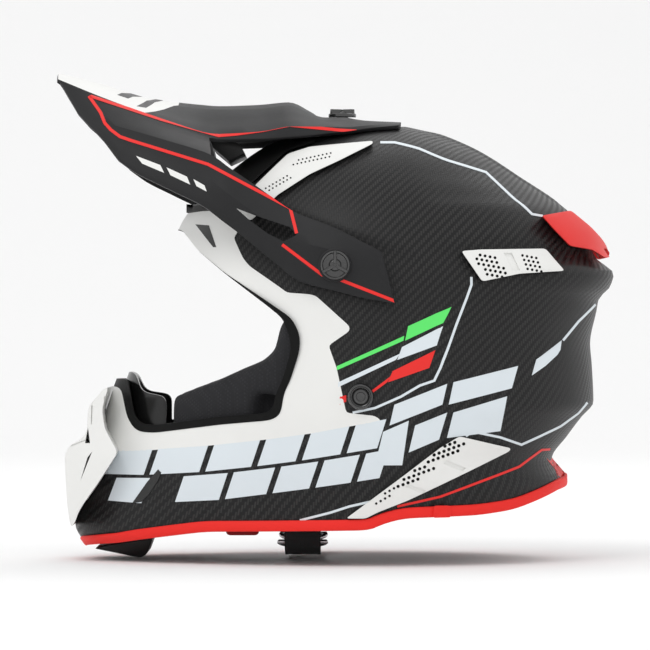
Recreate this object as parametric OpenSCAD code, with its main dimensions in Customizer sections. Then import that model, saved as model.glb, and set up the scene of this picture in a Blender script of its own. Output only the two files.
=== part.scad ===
// Motocross helmet: a one-piece carbon shell with its liners, pads, vent covers, edge trims,
// chin strap and a peak that tilts on two side screws.
// The origin is the centre of the head cavity. The helmet faces -X, its left side is -Y and up is +Z.

/* [Shell] */
// Half-width of the shell at ear level
half_width = 125; // [118:1:132]
// Height of the crown above the origin
crown_z = 112.5; // [108:0.5:116]
// Wall of the carbon shell
shell_t = 3; // [2:0.5:4]
// Points around one horizontal slice of the shell
slice_points = 44; // [32:4:64]

/* [Liners] */
// Depth of the impact liner under the shell surface
eps_depth = 26; // [20:1:32]
// Depth of the comfort liner's inner face
comfort_depth = 33; // [30:1:38]
// Depth of the cheek pads' inner face at the ear
cheek_depth = 38; // [34:1:44]

/* [Trims and covers] */
// Height of the rubber band along the bottom edge
base_trim_h = 7; // [5:1:10]
// How far the vent covers stand off the shell
cover_t = 3.4; // [2:0.2:5]

/* [Peak] */
// Skin of the moulded peak
peak_t = 2.5; // [2:0.1:3]
// Downward travel of the peak, in degrees
peak_travel = 6; // [4:1:8]
// Radius of the peak screws' heads
screw_head_r = 9; // [7:0.5:11]

/* [Strap] */
// Width of the chin strap webbing
strap_w = 23; // [20:1:26]
// Thickness of the webbing
strap_t = 2; // [1.5:0.1:3]

/* [Hidden] */
gap = 0.4;
bottom_z = -168;
ear_z = -10;
centre_x = 15;
apex_x = 36;
span_x = 165;
span_y = 124;
reach = 240;

// Side view of the front and rear mid-line, and of the half-width below the ears, by height.
front_line = [[-168, -163], [-158, -170.5], [-153, -175.5], [-146, -178.5], [-134, -177], [-120, -174.5],
    [-100, -170], [-85, -163], [-56, -153], [46, -111], [52, -108], [63, -99], [78, -81], [94, -60],
    [102, -45], [107, -28], [110, 0], [111, 12], [112.5, 36]];
rear_line = [[-168, 132], [-118, 139], [-103, 131], [-88, 141], [-76, 150], [-66, 158], [-43, 157],
    [-29, 156], [-7, 161], [1, 163], [8, 170], [17, 173], [28, 161], [40, 156], [60, 139], [80, 110],
    [96, 85], [104, 68], [108, 57], [110.5, 46], [112.5, 36]];
low_width = [[-168, 102], [-130, 108], [-100, 115], [-60, 122], [-10, 125]];
levels = [112, 110.5, 108, 104, 99, 92, 84, 74, 63, 52, 46, 36, 28, 17, 8, 1, -14, -32, -50, -66, -76, -88,
    -103, -118, -132, -146, -153, bottom_z];

// Pivot of the peak, and the place of its top screw.
pivot_x = -10;
pivot_z = 21;
pivot_y = 123.3;
top_screw_x = -5;
tongue_r = 96.5;
arm_disc_r = 10;
insert_bore_r = 3;
screw_r = 2.95;
collar_r = 4;
collar_bore_r = 4.05;
insert_r = 5.95;
shell_bore_r = 6;

// Chin strap: rivets at the ears and the sagging band between them.
strap_x = -30.5;
strap_y = 91;
rivet_z = -72;
sag_z = -165;
rivet_r = 4;
rivet_bore_r = 4.05;
ring_y = 56;
ring_z = -154.4;
ring_r = 15;
ring_rest_angle = 12;
wire_r = 1.5;
wire_bore_r = 1.56;
loop_r = 2.7;

// Round plug in the side of the shell.
plug_x = 6;
plug_z = -61;
plug_r = 5;
plug_cap_r = 8.2;
plug_bore_r = 5.05;

// Outlines in side view, as X and Z.
port_edge = [[-reach, 46], [-109, 46], [-97, 31], [-80, 17], [-53, -1], [-37, -12], [-32, -22], [-32, -32],
    [-38, -51], [-42, -59], [-44, -72], [-50, -76], [-82, -79], [-126, -85], [-137, -84], [-143, -76],
    [-148, -56], [-reach, -56]];
lip_edge = [[-reach, 45], [-108.6, 45], [-96.3, 30.2], [-79.4, 16], [-61, 2.2], [-51.5, -5], [-43, -12],
    [-38.5, -22.5], [-37.5, -32], [-43, -51], [-47, -59], [-49, -68], [-53, -71.5], [-82, -74], [-125, -80],
    [-133, -79.5], [-138, -74], [-143, -51], [-reach, -51]];
base_edge = [[-reach, -170], [-171.5, -158.8], [-147, -155], [-121, -151], [-92, -147], [12, -145],
    [20, -141], [33, -137.5], [80, -136], [103, -133], [120, -127], [140, -119], [reach, -80]];
mouthpiece_edge = [[-155, -56], [-158, -57], [-168, -68], [-169, -74], [-169, -84], [-172, -89], [-181, -94],
    [-184, -100], [-183, -116], [-182, -130], [-180, -143], [-178.5, -146], [-176, -141.5], [-174.5, -137],
    [-171, -131], [-161, -117],
    [-148, -97], [-157, -82], [-159, -70]];
nose_edge = [[-158, -60], [-150, -50], [-143, -46], [-138, -48], [-134, -59], [-117.5, -62], [-117.5, -84],
    [-165, -84]];
chin_vent_edge = [[-165, -160], [-155, -162], [-141, -165], [-135, -166], [-131, -164], [-127, -153.5],
    [-147, -156.5]];
intake_edge = [[-31, 125], [-104, 80], [-82, 76.5], [-63, 74], [-49, 87], [-41, 95], [-27, 99.5], [-22, 101],
    [-22, 125]];
brow_vent_edge = [[-73, 56], [-61, 72], [-48, 85], [-40, 93], [-26, 97.5], [14, 101], [14, 99], [-7, 88],
    [-26, 79], [-46, 66], [-63, 49.5]];
exhaust_edge = [[69, 30], [81, 31], [123, 32], [135, 18], [106, 16], [82, 11]];
jaw_vent_edge = [[-3, -137.5], [31, -112], [56, -93], [68, -86], [101, -94], [100, -96], [36, -126],
    [17, -133.5], [9, -137.5]];
rear_vent_edge = [[121, 53], [141, 57], [154, 47], [162.5, 39], [168.5, 32], [168, 28], [164, 26.5],
    [154, 32], [139, 34], [129, 44]];
crown_region = [[-reach, 55], [-103, 55], [-74, 27], [-44, 5], [-18, 2], [6, -26], [20, -66], [28, -98],
    [reach, -98], [reach, 140], [-reach, 140]];
cheek_region = [[-116, -62], [-91, -51], [-72, -42], [-55, -35], [-48, -26], [-44, -13], [-36, -7], [-20, -6],
    [0, -32], [13, -70], [12, -135], [-60, -136], [-114, -130]];
cheek_plan = [[-130, -32], [-100, -50], [-60, -68], [-20, -79], [20, -86], [20, -130], [-130, -130]];
neck_region = [[22, -103], [18, -131], [80, -127], [103, -124], [120, -118], [reach, -95], [reach, -90],
    [140, -103]];
chin_region = [[-reach, -90], [-121, -90], [-121, -140], [-reach, -148]];

// Half-width and end exponents of the slice at height z.
function side_y(z) = z > ear_z
    ? half_width * pow(1 - pow((z - ear_z) / (crown_z - ear_z), 2.1), 1 / 2.1)
    : lookup(z, low_width) * half_width / 125;
function slice_centre(z) = lookup(z, [[80, centre_x], [crown_z, 34]]);
function front_power(z) = lookup(z, [[-60, 1.7], [49, 1.95], [80, 2.1]]);
rear_power = 2.1;

// One point of the shell surface, sunk t below it. A negative t stands off the shell.
function swell(c, p) = sign(c) * pow(abs(c), 2 / p);
function skin_point(z, a, t) =
    let (p = cos(a) < 0 ? front_power(z) : rear_power,
        c = slice_centre(z),
        end = cos(a) < 0 ? c - lookup(z, front_line) : lookup(z, rear_line) - c,
        x = c + end * swell(cos(a), p),
        y = side_y(z) * swell(sin(a), p))
    [x * (1 - t / span_x), y * (1 - t / span_y), z > 0 ? z * (1 - t / crown_z) : z];
function slice(z, t) = [for (i = [0 : slice_points - 1]) skin_point(z, 360 * i / slice_points, t)];

// Moves every point of an outline up or down.
function lifted(points, dz) = [for (p = points) [p[0], p[1] + dz]];

// Which sub-part is drawn, or all of them.

// Everything inside the shell surface sunk by t, with a flat bottom.
module bulk(t, drop = 0) {
    n = slice_points;
    m = len(levels);
    rings = [for (z = levels) slice(z == bottom_z ? z - drop : z, t)];
    top = [apex_x * (1 - t / span_x), 0, crown_z * (1 - t / crown_z)];
    points = concat([top], [for (r = rings) each r]);
    cap = [for (i = [0 : n - 1]) [0, 1 + i, 1 + (i + 1) % n]];
    sides = [for (k = [0 : m - 2], i = [0 : n - 1])
        let (a = 1 + k * n + i, b = 1 + k * n + (i + 1) % n)
        each [[a, a + n, b], [b, a + n, b + n]]];
    base = [for (i = [0 : n - 1]) 1 + (m - 1) * n + i];
    polyhedron(points, concat(cap, sides, [base]), convexity = 6);
}

// The layer of material between two depths.
module layer(t0, t1) {
    difference() {
        bulk(t0);
        bulk(t1, 3);
    }
}

// A prism across the helmet over a side-view outline. side is -1 left, 1 right and 0 for both.
module across(outline, side = 0, inset = 0) {
    from = side < 0 ? -reach : side > 0 ? 2 : -reach;
    size = side == 0 ? 2 * reach : reach - 2;
    translate([0, from + size, 0])
        rotate([90, 0, 0])
            linear_extrude(size)
                offset(delta = -inset)
                    polygon(outline);
}

// A patch of a layer, cut to an outline.
module patch(outline, t0, t1, side = 0) {
    intersection() {
        layer(t0, t1);
        across(outline, side);
    }
}

// Keeps a sculpted shape as one closed mesh, so that bores can be cut in it afterwards.
module sculpted() {
    resize([0, 0, 0])
        children();
}

// A sheet over a grid of points, with its skin laid t below them. Where absent(i, j) is true there is
// no panel between rows i and i + 1 and columns j and j + 1.
function grid_normal(g, i, j, absent) =
    let (m = len(g) - 1,
        n = len(g[0]) - 1,
        row = max(i - 1, 0),
        right = j < n && !absent(row, j) ? j + 1 : j,
        left = j > 0 && !absent(row, j - 1) ? j - 1 : j,
        v = cross(g[min(i + 1, m)][j] - g[row][j], g[i][right] - g[i][left]))
    v / norm(v);
module sheet(g, t, absent) {
    m = len(g);
    n = len(g[0]);
    k = m * n;
    outer = [for (i = [0 : m - 1], j = [0 : n - 1]) g[i][j]];
    inner = [for (i = [0 : m - 1], j = [0 : n - 1]) g[i][j] - t * grid_normal(g, i, j, absent)];
    shown = function (i, j) i >= 0 && j >= 0 && i < m - 1 && j < n - 1 && !absent(i, j);
    panels = [for (i = [0 : m - 2], j = [0 : n - 2])
        if (shown(i, j))
            let (a = i * n + j, b = a + 1, c = a + n, d = c + 1)
            each [
                [a, b, c], [b, d, c], [a + k, c + k, b + k], [b + k, c + k, d + k],
                if (!shown(i - 1, j)) each [[a, a + k, b], [b, a + k, b + k]],
                if (!shown(i + 1, j)) each [[c, d, c + k], [d, d + k, c + k]],
                if (!shown(i, j - 1)) each [[a, c, a + k], [c, c + k, a + k]],
                if (!shown(i, j + 1)) each [[b, b + k, d], [d, b + k, d + k]]
            ]];
    polyhedron(concat(outer, inner), panels, convexity = 6);
}

// A cylinder along Y on one side of the helmet, between two distances from the middle.
module side_pin(x, z, r, from, to, side) {
    translate([x, side * from, z])
        rotate([side > 0 ? -90 : 90, 0, 0])
            cylinder(h = to - from, r = r, $fn = 48);
}

module outer_shell() {
    color([0.07, 0.07, 0.075])
        difference() {
            sculpted()
                difference() {
                    layer(0, shell_t);
                    across(port_edge);
                    across(concat(lifted(base_edge, 3), [[reach, -200], [-reach, -200]]));
                }
            for (side = [-1, 1]) {
                side_pin(pivot_x, pivot_z, shell_bore_r, 100, 130, side);
                side_pin(plug_x, plug_z, plug_bore_r, 100, 130, side);
            }
            translate([top_screw_x, 0, 95])
                cylinder(h = 30, r = shell_bore_r, $fn = 48);
        }
}

module eps_liner() {
    color([0.18, 0.18, 0.19])
        sculpted()
            patch(crown_region, shell_t + gap, eps_depth);
}

module comfort_liner() {
    color([0.30, 0.31, 0.33])
        sculpted()
            intersection() {
                layer(eps_depth + gap, comfort_depth);
                across(crown_region, inset = 5);
            }
}

module chin_liner() {
    color([0.08, 0.08, 0.08])
        sculpted()
            patch(chin_region, shell_t + gap, 16);
}

module cheek_pad(side) {
    color([0.27, 0.28, 0.30])
        difference() {
            sculpted()
                intersection() {
                    layer(8, cheek_depth + 30);
                    across(cheek_region, side);
                    scale([1, -side, 1])
                        translate([0, 0, -150])
                            linear_extrude(200)
                                polygon(cheek_plan);
                }
            // The slot that the chin strap hangs and swings in.
            translate([-60, side * strap_y - 5, -150])
                cube([59, 10, 92]);
            side_pin(strap_x, rivet_z, 7, strap_y, 125, side);
        }
}

module neck_roll() {
    color([0.16, 0.16, 0.17])
        sculpted()
            patch(neck_region, base_trim_h, 28);
}

module port_gasket() {
    color([0.05, 0.05, 0.05])
        sculpted()
            union() {
                difference() {
                    patch(port_edge, -0.5, 6);
                    across(lip_edge);
                    difference() {
                        layer(-1, shell_t + 0.3);
                        across(port_edge, inset = gap);
                    }
                }
                intersection() {
                    layer(shell_t + gap, 6);
                    difference() {
                        across(port_edge, inset = -4);
                        across(lip_edge);
                    }
                }
            }
}

module nose_guard() {
    color([0.04, 0.04, 0.04])
        sculpted()
            difference() {
                patch(nose_edge, 6.5, 13);
                translate([-120, -32, -reach])
                    cube([60, 64, 2 * reach]);
            }
}

module base_trim() {
    band = concat(base_edge, [for (i = [len(base_edge) - 1 : -1 : 0]) base_edge[i] + [0, base_trim_h]]);
    color([0.82, 0.15, 0.13])
        sculpted()
            difference() {
                patch(band, -2, 6.5);
                intersection() {
                    layer(-0.3, shell_t + 0.3);
                    across(concat(lifted(base_edge, 2.6), [[reach, 200], [-reach, 200]]));
                }
                across(mouthpiece_edge, inset = -gap);
            }
}

module trim_clip(side) {
    color([0.75, 0.13, 0.12])
        sculpted()
            patch([[51, -137.5], [63, -137.2], [63, -129], [51, -129]], -4, -2.3, side);
}

module mouthpiece() {
    color([0.90, 0.90, 0.88])
        sculpted()
            difference() {
                patch(mouthpiece_edge, -20, -gap);
                intersection() {
                    layer(-16, 2);
                    across(mouthpiece_edge, inset = 3);
                }
                // Air slots through the front face.
                for (side = [-1, 1])
                    scale([1, side, 1])
                        rotate([0, -90, 0])
                            translate([0, 0, 140])
                                linear_extrude(60)
                                    polygon([[-100, 5], [-102, 22], [-112, 18], [-120, 5]]);
            }
}

module mouth_grille() {
    color([0.05, 0.05, 0.05])
        sculpted()
            difference() {
                patch([[-200, -101], [-150, -101], [-150, -116], [-200, -116]], -4, -2);
                for (side = [-1, 1])
                    translate([-200, side * (reach / 2 + 20) - reach / 2, -150])
                        cube([120, reach, 100]);
                for (y = [-15 : 7.5 : 15])
                    translate([-200, y - 2.2, -114])
                        cube([60, 4.4, 11]);
            }
}

module chin_vent() {
    color([0.05, 0.05, 0.05])
        translate([0, 34, 0])
            rotate([90, 0, 0])
                linear_extrude(68)
                    polygon(chin_vent_edge);
}

module forehead_intake() {
    color([0.05, 0.05, 0.05])
        sculpted()
            patch(intake_edge, -2.4, -gap);
}

module brow_vent(side) {
    color([0.88, 0.88, 0.86])
        sculpted()
            patch(brow_vent_edge, -cover_t, -gap, side);
}

module exhaust(side) {
    color([0.88, 0.88, 0.86])
        sculpted()
            patch(exhaust_edge, -cover_t, -gap, side);
}

module jaw_vent(side) {
    color([0.88, 0.88, 0.86])
        sculpted()
            patch(jaw_vent_edge, -cover_t, -gap, side);
}

module rear_vent() {
    color([0.85, 0.16, 0.14])
        sculpted()
            patch(rear_vent_edge, -8, -gap);
}

module side_plug(side) {
    color([0.05, 0.05, 0.05]) {
        side_pin(plug_x, plug_z, plug_r, 118.5, 122.4, side);
        side_pin(plug_x, plug_z, plug_cap_r, 122.4, 124.6, side);
    }
}

module insert(side) {
    color([0.75, 0.60, 0.35])
        difference() {
            side_pin(pivot_x, pivot_z, insert_r, 117.4, 121.5, side);
            side_pin(pivot_x, pivot_z, insert_bore_r, 100, 140, side);
        }
}

module insert_top() {
    color([0.75, 0.60, 0.35])
        translate([top_screw_x, 0, 106.6])
            difference() {
                cylinder(h = 7.4, r = insert_r, $fn = 48);
                translate([0, 0, -1])
                    cylinder(h = 10, r = insert_bore_r, $fn = 48);
            }
}

// The peak's rows of points, from its front edge back. Each row runs from the middle outwards: the ridge,
// the tongue's top, its shoulder and its lower edge, then the arm's upper edge, its crease and its lower
// edge. The first rows are the closed hood; behind them the tongue and the arms part.
peak_rows = [
    [[-189, 0, 147.5], [-188.5, -20, 146], [-187, -46, 141], [-183, -50, 135], [-173.5, -63, 118.5],
        [-161, -76, 106], [-147, -86, 88]],
    [[-162, 0, 140.5], [-161, -20, 138], [-158, -51, 129], [-157.5, -55, 126], [-155, -72, 112],
        [-146, -83, 97], [-136, -91, 80]],
    [[-130, 0, 131], [-129, -20, 128], [-121, -56, 115.5], [-121, -60, 113], [-118, -82, 101],
        [-117, -93, 86], [-116, -98, 70]],
    [[-98, 0, 127], [-97, -20, 123], [-91, -57, 106], [-90, -61, 103], [-88, -90, 91],
        [-89, -100, 75], [-92, -104, 58]],
    [[-84, 0, 126], [-84, -20, 122.5], [-84, -56, 105.5], [-82, -60, 102], [-76, -96, 82.5],
        [-78, -105, 67], [-82, -105.5, 50]],
    [[-60, 0, 126.8], [-60, -18, 123], [-58, -54, 107], [-57, -58, 102.5], [-62, -101, 73],
        [-66, -108, 58], [-70, -108, 41]],
    [[-40, 0, 128.5], [-40, -16, 125.5], [-38, -50, 110.5], [-38, -54, 104], [-38, -110, 56],
        [-42, -114, 42], [-48, -114, 23]],
    [[-26, 0, 122.5], [-26, -15, 120.5], [-26, -48, 110.5], [-26, -52, 105], [-32, -113, 53],
        [-32, -119.5, 36], [-32, -120, 11]],
    [[-16, 0, 117.2], [-16, -15, 118], [-13, -46, 110.5], [-13, -49, 106.5], [-9, -121, 44],
        [-10, -126.5, 30], [-10, -126, 5]],
    [[-5, 0, 117.4], [-5, -15, 118], [-3, -43, 110.5], [-3, -46, 107.5], [8, -126, 35],
        [9, -128.5, 24], [10, -128.5, 0]],
    [[10, 0, 115.4], [10, -14, 116], [12, -36, 112], [12, -39, 110], [14, -127.5, 32],
        [17, -129.5, 18], [19, -129.5, -1.5]],
    [[33, 0, 115.2], [33, -12, 115], [32, -29, 113.2], [31, -33, 112.2], [19, -128.2, 29],
        [23, -130, 14], [27, -130, -3]]];
hood_rows = 3;
arm_window = [[-72, 57], [-59, 52], [-38, 45], [-34, 40], [-42, 36], [-52, 41], [-63, 49]];

// The whole width of each row, from the left edge across to the right.
peak_grid = [for (r = peak_rows)
    concat([for (j = [len(r) - 1 : -1 : 1]) r[j]], [for (p = r) [p[0], -p[1], p[2]]])];

// The air duct moulded under the tongue, in side view, and the half of its width.
duct_edge = [[-92, 107], [-88, 97], [-78, 88.5], [-67.5, 93.5], [-70, 98.5], [-82, 107]];
duct_hollow = [[-89, 110], [-85.4, 98.4], [-77.5, 91.6], [-71, 94.6], [-72.5, 98], [-83, 110]];
duct_half = 50;
module tongue_duct() {
    difference() {
        translate([0, duct_half, 0])
            rotate([90, 0, 0])
                linear_extrude(2 * duct_half)
                    polygon(duct_edge);
        translate([0, duct_half - peak_t, 0])
            rotate([90, 0, 0])
                linear_extrude(2 * (duct_half - peak_t))
                    polygon(duct_hollow);
    }
}

// The slot that the top screw clamps through, as long as the peak's travel.
module tongue_slot() {
    travel = tongue_r * sin(peak_travel) + 1;
    translate([top_screw_x, 0, 100])
        linear_extrude(30)
            hull()
                for (x = [0, travel])
                    translate([x, 0])
                        circle(r = collar_bore_r, $fn = 48);
}

module peak_mould() {
    difference() {
        union() {
            sheet(peak_grid, peak_t, function (i, j) i >= hood_rows && (j == 2 || j == 9));
            tongue_duct();
            for (side = [-1, 1])
                side_pin(pivot_x, pivot_z, arm_disc_r, pivot_y, 128.4, side);
        }
        tongue_slot();
        across(arm_window);
    }
}

module peak() {
    color([0.16, 0.16, 0.17])
        difference() {
            sculpted()
                peak_mould();
            for (side = [-1, 1])
                side_pin(pivot_x, pivot_z, collar_bore_r, 100, 140, side);
        }
}

// A thumb screw that stands on Z = 0, with three wings and its shank below.
module thumb_screw(collar_h, shank_h) {
    color([0.09, 0.09, 0.09]) {
        cylinder(h = 2.4, r = screw_head_r, $fn = 48);
        for (a = [30, 150, 270])
            rotate(a)
                translate([0, -1.6, 1])
                    cube([screw_head_r - 0.5, 3.2, 4.4]);
        cylinder(h = 4.6, r = 4.5, $fn = 48);
        translate([0, 0, -collar_h])
            cylinder(h = collar_h, r = collar_r, $fn = 48);
        translate([0, 0, -collar_h - shank_h])
            cylinder(h = shank_h, r = screw_r, $fn = 48);
    }
}

module peak_screw(side) {
    translate([pivot_x, side * 128.8, pivot_z])
        rotate([side > 0 ? -90 : 90, 0, 0])
            thumb_screw(5.6, 5.4);
}

module peak_screw_top() {
    translate([top_screw_x, 0, 118.6])
        thumb_screw(4.3, 7.2);
}

module strap_rivet(side) {
    color([0.72, 0.72, 0.74]) {
        side_pin(strap_x, rivet_z, rivet_r, strap_y - 2, 108.2, side);
        side_pin(strap_x, rivet_z, 6.5, strap_y - 3.6, strap_y - 2, side);
        side_pin(strap_x, rivet_z, 6.5, strap_y + 1.6, 105, side);
    }
}

// The webbing in front view: two straight falls and a sagging band between them, as Y and Z.
fall_z = -128;
sag_steps = 12;
sag = [for (i = [0 : sag_steps])
    let (f = -cos(180 * i / sag_steps))
    [f * (strap_y + strap_t / 2), fall_z + (sag_z - fall_z) * pow(1 - f * f, 0.42)]];
module band_outline(top_z) {
    polygon(concat([[-strap_y - strap_t / 2, top_z]], sag, [[strap_y + strap_t / 2, top_z]]));
}
module chin_strap() {
    color([0.06, 0.06, 0.06])
        difference() {
            union() {
                translate([strap_x - strap_w / 2, 0, 0])
                    rotate([90, 0, 90])
                        linear_extrude(strap_w)
                            difference() {
                                band_outline(rivet_z);
                                offset(delta = -strap_t)
                                    band_outline(rivet_z + 40);
                            }
                for (side = [-1, 1]) {
                    side_pin(strap_x, rivet_z, strap_w / 2, strap_y - strap_t / 2, strap_y + strap_t / 2,
                        side);
                    translate([strap_x - 10, side * ring_y, ring_z])
                        rotate([0, 90, 0])
                            cylinder(h = 20, r = loop_r, $fn = 32);
                }
            }
            for (side = [-1, 1]) {
                side_pin(strap_x, rivet_z, rivet_bore_r, strap_y - 5, strap_y + 5, side);
                translate([strap_x - 20, side * ring_y, ring_z])
                    rotate([0, 90, 0])
                        cylinder(h = 40, r = wire_bore_r, $fn = 32);
            }
        }
}

// A steel D-ring that lies on the strap, hinged in a loop of webbing. It reaches in from its bar.
module d_ring(side) {
    color([0.75, 0.75, 0.77])
        translate([strap_x, side * ring_y, ring_z])
            rotate([side * ring_rest_angle, 0, 0]) {
                translate([-ring_r, 0, 0])
                    rotate([0, 90, 0])
                        cylinder(h = 2 * ring_r, r = wire_r, $fn = 24);
                rotate(side > 0 ? 180 : 0)
                    rotate_extrude(angle = 180, $fn = 48)
                        translate([ring_r, 0])
                            circle(r = wire_r, $fn = 24);
            }
}

module pull_tab(side) {
    color([0.55, 0.08, 0.08])
        translate([-79, side > 0 ? 75 : -77, -149.5])
            cube([21, 2, 13.2]);
}

outer_shell();
eps_liner();
comfort_liner();
chin_liner();
cheek_pad(-1);  // cheek_pad_left
cheek_pad(1);  // cheek_pad_right
neck_roll();
port_gasket();
nose_guard();
base_trim();
trim_clip(-1);  // trim_clip_left
trim_clip(1);  // trim_clip_right
mouthpiece();
mouth_grille();
chin_vent();
forehead_intake();
brow_vent(-1);  // brow_vent_left
brow_vent(1);  // brow_vent_right
exhaust(-1);  // exhaust_left
exhaust(1);  // exhaust_right
jaw_vent(-1);  // jaw_vent_left
jaw_vent(1);  // jaw_vent_right
rear_vent();
side_plug(-1);  // side_plug_left
side_plug(1);  // side_plug_right
insert(-1);  // insert_left
insert(1);  // insert_right
insert_top();
peak();
peak_screw(-1);  // peak_screw_left
peak_screw(1);  // peak_screw_right
peak_screw_top();
strap_rivet(-1);  // strap_rivet_left
strap_rivet(1);  // strap_rivet_right
chin_strap();
d_ring(-1);  // d_ring_left
d_ring(1);  // d_ring_right
pull_tab(-1);  // pull_tab_left
pull_tab(1);  // pull_tab_right
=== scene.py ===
"""Motocross helmet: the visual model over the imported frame. The helmet faces -X and its left side is -Y."""

import math

import bmesh
import bpy
import numpy as np
from mathutils import Matrix, Vector


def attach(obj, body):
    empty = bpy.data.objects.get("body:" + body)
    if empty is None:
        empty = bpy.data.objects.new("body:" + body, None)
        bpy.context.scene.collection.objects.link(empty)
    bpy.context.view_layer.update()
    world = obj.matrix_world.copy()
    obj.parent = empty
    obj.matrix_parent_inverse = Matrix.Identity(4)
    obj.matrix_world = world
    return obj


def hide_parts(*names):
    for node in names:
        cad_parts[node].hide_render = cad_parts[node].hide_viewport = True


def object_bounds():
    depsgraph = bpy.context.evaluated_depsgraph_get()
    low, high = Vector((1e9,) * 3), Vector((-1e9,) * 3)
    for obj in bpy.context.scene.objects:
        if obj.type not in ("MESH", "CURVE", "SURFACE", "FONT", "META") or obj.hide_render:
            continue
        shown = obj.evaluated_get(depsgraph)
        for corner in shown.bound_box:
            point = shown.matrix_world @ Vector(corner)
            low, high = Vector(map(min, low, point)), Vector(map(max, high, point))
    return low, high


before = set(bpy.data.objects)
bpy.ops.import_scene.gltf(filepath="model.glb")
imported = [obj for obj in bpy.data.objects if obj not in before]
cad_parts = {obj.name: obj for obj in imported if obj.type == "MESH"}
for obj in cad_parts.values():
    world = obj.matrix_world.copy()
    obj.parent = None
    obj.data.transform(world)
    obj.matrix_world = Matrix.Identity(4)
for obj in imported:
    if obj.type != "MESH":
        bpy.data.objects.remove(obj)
FRAME_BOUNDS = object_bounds()
MM = 0.001

# ---------------------------------------------------------------- camera, floor and light
AIM = (-16.25, 0.0, -16.25)
CAMERA_DISTANCE = 3000.0


def add_camera():
    """A long lens level with the helmet, square to its left side."""
    data = bpy.data.cameras.new("camera")
    data.sensor_width = 36.0
    data.lens = 36.0 * CAMERA_DISTANCE / (650 * 0.65)
    data.clip_end = 50.0
    camera = bpy.data.objects.new("camera", data)
    camera.location = [v * MM for v in (AIM[0], -CAMERA_DISTANCE, AIM[2])]
    camera.rotation_euler = (math.pi / 2, 0.0, 0.0)
    bpy.context.collection.objects.link(camera)
    bpy.context.scene.camera = camera


def add_area_light(name, place, size, power, color=(1.0, 1.0, 1.0)):
    """A square soft box aimed at the helmet's middle. place is in metres."""
    data = bpy.data.lights.new(name, "AREA")
    data.size = size
    data.energy = power
    data.color = color
    light = bpy.data.objects.new(name, data)
    light.location = place
    aim = Vector(AIM) * MM - Vector(place)
    light.rotation_euler = aim.to_track_quat("-Z", "Y").to_euler()
    bpy.context.collection.objects.link(light)


def add_stage():
    """A pale floor that rises into a pale wall far behind, and soft even light."""
    floor_z = FRAME_BOUNDS[0][2] - 0.002
    path = [(-6.0, floor_z)] + [(2.4 + 1.2 * math.sin(a), floor_z + 1.2 * (1 - math.cos(a)))
                                for a in np.linspace(0, math.pi / 2, 12)] + [(3.6, 6.0)]
    points = [(x, y, z) for y, z in path for x in (-7.0, 7.0)]
    faces = [[2 * i, 2 * i + 1, 2 * i + 3, 2 * i + 2] for i in range(len(path) - 1)]
    mesh = bpy.data.meshes.new("stage")
    mesh.from_pydata(points, [], faces)
    mesh.shade_smooth()
    stage = bpy.data.objects.new("stage", mesh)
    bpy.context.collection.objects.link(stage)
    paper = bpy.data.materials.new("stage_paper")
    paper.use_nodes = True
    surface = paper.node_tree.nodes["Principled BSDF"]
    surface.inputs["Base Color"].default_value = (0.93, 0.93, 0.93, 1.0)
    surface.inputs["Roughness"].default_value = 0.95
    mesh.materials.append(paper)
    world = bpy.data.worlds.new("studio")
    world.use_nodes = True
    sky = world.node_tree.nodes["Background"]
    sky.inputs["Color"].default_value = (1.0, 1.0, 1.0, 1.0)
    sky.inputs["Strength"].default_value = 0.95
    bpy.context.scene.world = world
    bpy.context.scene.view_settings.view_transform = "Standard"
    add_area_light("key", (-1.0, -1.6, 2.2), 1.4, 16.0)
    add_area_light("back_light", (0.6, 1.2, 1.8), 1.6, 8.0)


add_camera()
add_stage()

# ---------------------------------------------------------------- the shell's surface, in millimetres
CROWN_Z = 112.5
APEX_X = 36.0
EAR_Z = -10.0
HALF_WIDTH = 125.0
SPAN = (165.0, 124.0)
BOTTOM_Z = -168.0
DRAPE_CENTRE = (5.0, 0.0, -25.0)
DRAPE_RADIUS = 140.0
THROUGH = (-200, 200)
FRONT_LINE = [
    (-168, -163), (-158, -170.5), (-153, -175.5), (-146, -178.5), (-134, -177), (-120, -174.5), (-100, -170),
    (-85, -163), (-56, -153), (46, -111), (52, -108), (63, -99), (78, -81), (94, -60), (102, -45),
    (107, -28), (110, 0), (111, 12), (112.5, 36)]
REAR_LINE = [
    (-168, 132), (-118, 139), (-103, 131), (-88, 141), (-76, 150), (-66, 158), (-43, 157), (-29, 156),
    (-7, 161), (1, 163), (8, 170), (17, 173), (28, 161), (40, 156), (60, 139), (80, 110), (96, 85),
    (104, 68), (108, 57), (110.5, 46), (112.5, 36)]
LOW_WIDTH = [(-168, 102), (-130, 108), (-100, 115), (-60, 122), (-10, 125)]
REAR_POWER = 2.1


def smooth_line(table):
    """A monotone cubic through (height, value) pairs, as a function of height."""
    z = np.array([p[0] for p in table], float)
    v = np.array([p[1] for p in table], float)
    step = np.diff(z)
    rise = np.diff(v) / step
    slope = np.zeros(len(z))
    slope[0], slope[-1] = rise[0], rise[-1]
    same = rise[:-1] * rise[1:] > 0
    slope[1:-1][same] = 2.0 / (1.0 / rise[:-1][same] + 1.0 / rise[1:][same])

    def at(height):
        h = np.clip(height, z[0], z[-1])
        i = np.clip(np.searchsorted(z, h) - 1, 0, len(z) - 2)
        f = (h - z[i]) / step[i]
        rest = 1 - f
        return (v[i] * (1 + 2 * f) * rest ** 2 + v[i + 1] * f ** 2 * (3 - 2 * f)
                + step[i] * (slope[i] * f * rest ** 2 - slope[i + 1] * f ** 2 * rest))

    return at


front_x = smooth_line(FRONT_LINE)
rear_x = smooth_line(REAR_LINE)
low_width = smooth_line(LOW_WIDTH)


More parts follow.
